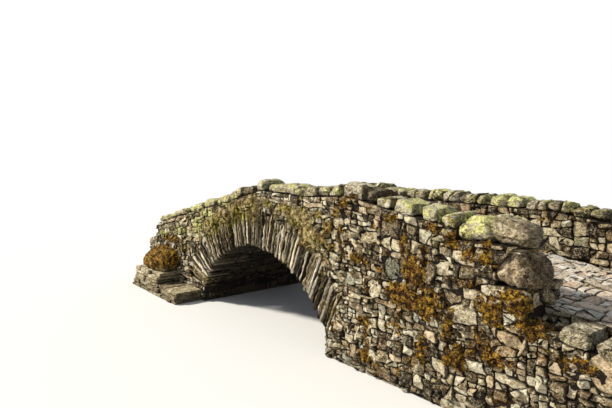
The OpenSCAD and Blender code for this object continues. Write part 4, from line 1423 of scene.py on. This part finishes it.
# Thin slates wedged between the two boulders of the pier: left end, right end and bottom
WEDGES = [(3.5, 3.76, PIER_TOP - 0.022), (3.6, 3.84, PIER_TOP - 0.044), (3.66, 3.8, PIER_TOP - 0.064)]
WEDGE_Y = (-1.45, -1.1)
WEDGE_T = 0.018
wedges = []
for start, end, low_z in WEDGES:
    wedges.append(block((start, WEDGE_Y[0], low_z), (end, WEDGE_Y[1], low_z + WEDGE_T)))
slabs = footing_slabs(np.random.default_rng(41))
low_stones = Heap()
lay_stones(low_stones, wedges, (14, 8, 2), [0.7, 0.4, 0.6], [0.1] * 3, 750,
           wear=0.006, facets=4, bite=0.1, soft=60)
lay_stones(low_stones, slabs, (11, 6, 3), None, [0.15] * len(slabs), 700,
           wear=0.012, facets=5, bite=0.06, soft=60)
low_stones.piece("footing_blocks", walling, "boulder", ["near_footing", "far_footing"])
kerb = Heap()
lay_stones(kerb, solids("kerb_slabs"), (22, 16, 6), [0.55, 0.45], [0.1, 0.1], 800,
           wear=0.01, soft=80, facets=8, bite=0.08)
kerb.piece("kerb_slab_stones", coping, "boulder", ["kerb_slabs"])

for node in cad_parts.values():
    node.data.materials.clear()
    node.data.materials.append(earth)

# Floor, which fades to white far off
FLOOR_REACH = 40
FADE = (7.0, 15.0)
floor_mesh = bpy.data.meshes.new("floor")
floor_corners = oblong(-FLOOR_REACH, -FLOOR_REACH, FLOOR_REACH, FLOOR_REACH)
floor_mesh.from_pydata([(x, y, 0) for x, y in floor_corners], [], [(0, 1, 2, 3)])
floor = bpy.data.objects.new("floor", floor_mesh)
bpy.context.scene.collection.objects.link(floor)
pale = Paint("pale_floor")
ground = pale.node("ShaderNodeBsdfPrincipled", {}, {"Base Color": tone(226, 224, 220), "Roughness": 0.95})
glow = pale.node("ShaderNodeEmission", {}, {"Color": (1, 1, 1, 1), "Strength": 1.0})
far_off = pale.node("ShaderNodeVectorMath", {"operation": "LENGTH"}, [pale.place], "Value")
seen_far = pale.step(far_off, *FADE) * pale.node("ShaderNodeLightPath", {}, [], "Is Camera Ray")
shown = pale.node("ShaderNodeMixShader", {}, [seen_far, ground, glow])
pale.node("ShaderNodeOutputMaterial", {}, {"Surface": shown})
floor_mesh.materials.append(pale.owner)

# Light: a white backdrop that lights nothing, a soft bluish fill and a warm sun
FILL = 0.53
FILL_TONE = tone(214, 224, 240)
SUN = 5.0
SUN_ANGLE = math.radians(7)
SUN_COLOUR = (1.0, 0.95, 0.86)
SUN_WAY = (0.64, 0.52, -0.68)
studio = Nodes(bpy.data.worlds.new("studio"))
bpy.context.scene.world = studio.owner
backdrop = studio.node("ShaderNodeBackground", {}, {"Color": (1, 1, 1, 1), "Strength": 1.0})
fill = studio.node("ShaderNodeBackground", {}, {"Color": FILL_TONE, "Strength": FILL})
seen = studio.node("ShaderNodeLightPath", {}, [], "Is Camera Ray")
for way in ("Is Glossy Ray", "Is Transmission Ray"):
    seen = seen.maths("MAXIMUM", studio.node("ShaderNodeLightPath", {}, [], way))
sky = studio.node("ShaderNodeMixShader", {}, [seen, fill, backdrop])
studio.node("ShaderNodeOutputWorld", {}, {"Surface": sky})

sun = bpy.data.objects.new("key", bpy.data.lights.new("key", "SUN"))
sun.data.energy = SUN
sun.data.angle = SUN_ANGLE
sun.data.color = SUN_COLOUR
sun.rotation_euler = Vector(SUN_WAY).to_track_quat("-Z", "Y").to_euler()
bpy.context.scene.collection.objects.link(sun)

# Camera, as fitted to the photo: its width, focal length and shift are in the photo's pixels
SENSOR = 36
PHOTO_W = 612
FOCAL = 500
SHIFT = -39
EYE = (6.09, -5.80, 2.5)
LOOK = (-0.777, 0.629, 0)
camera = bpy.data.objects.new("camera", bpy.data.cameras.new("camera"))
camera.data.lens = SENSOR * FOCAL / PHOTO_W
camera.data.shift_y = SHIFT / PHOTO_W
camera.data.clip_end = 200
camera.location = EYE
camera.rotation_euler = Vector(LOOK).to_track_quat("-Z", "Y").to_euler()
bpy.context.scene.collection.objects.link(camera)
bpy.context.scene.camera = camera
bpy.context.scene.view_settings.view_transform = "Standard"
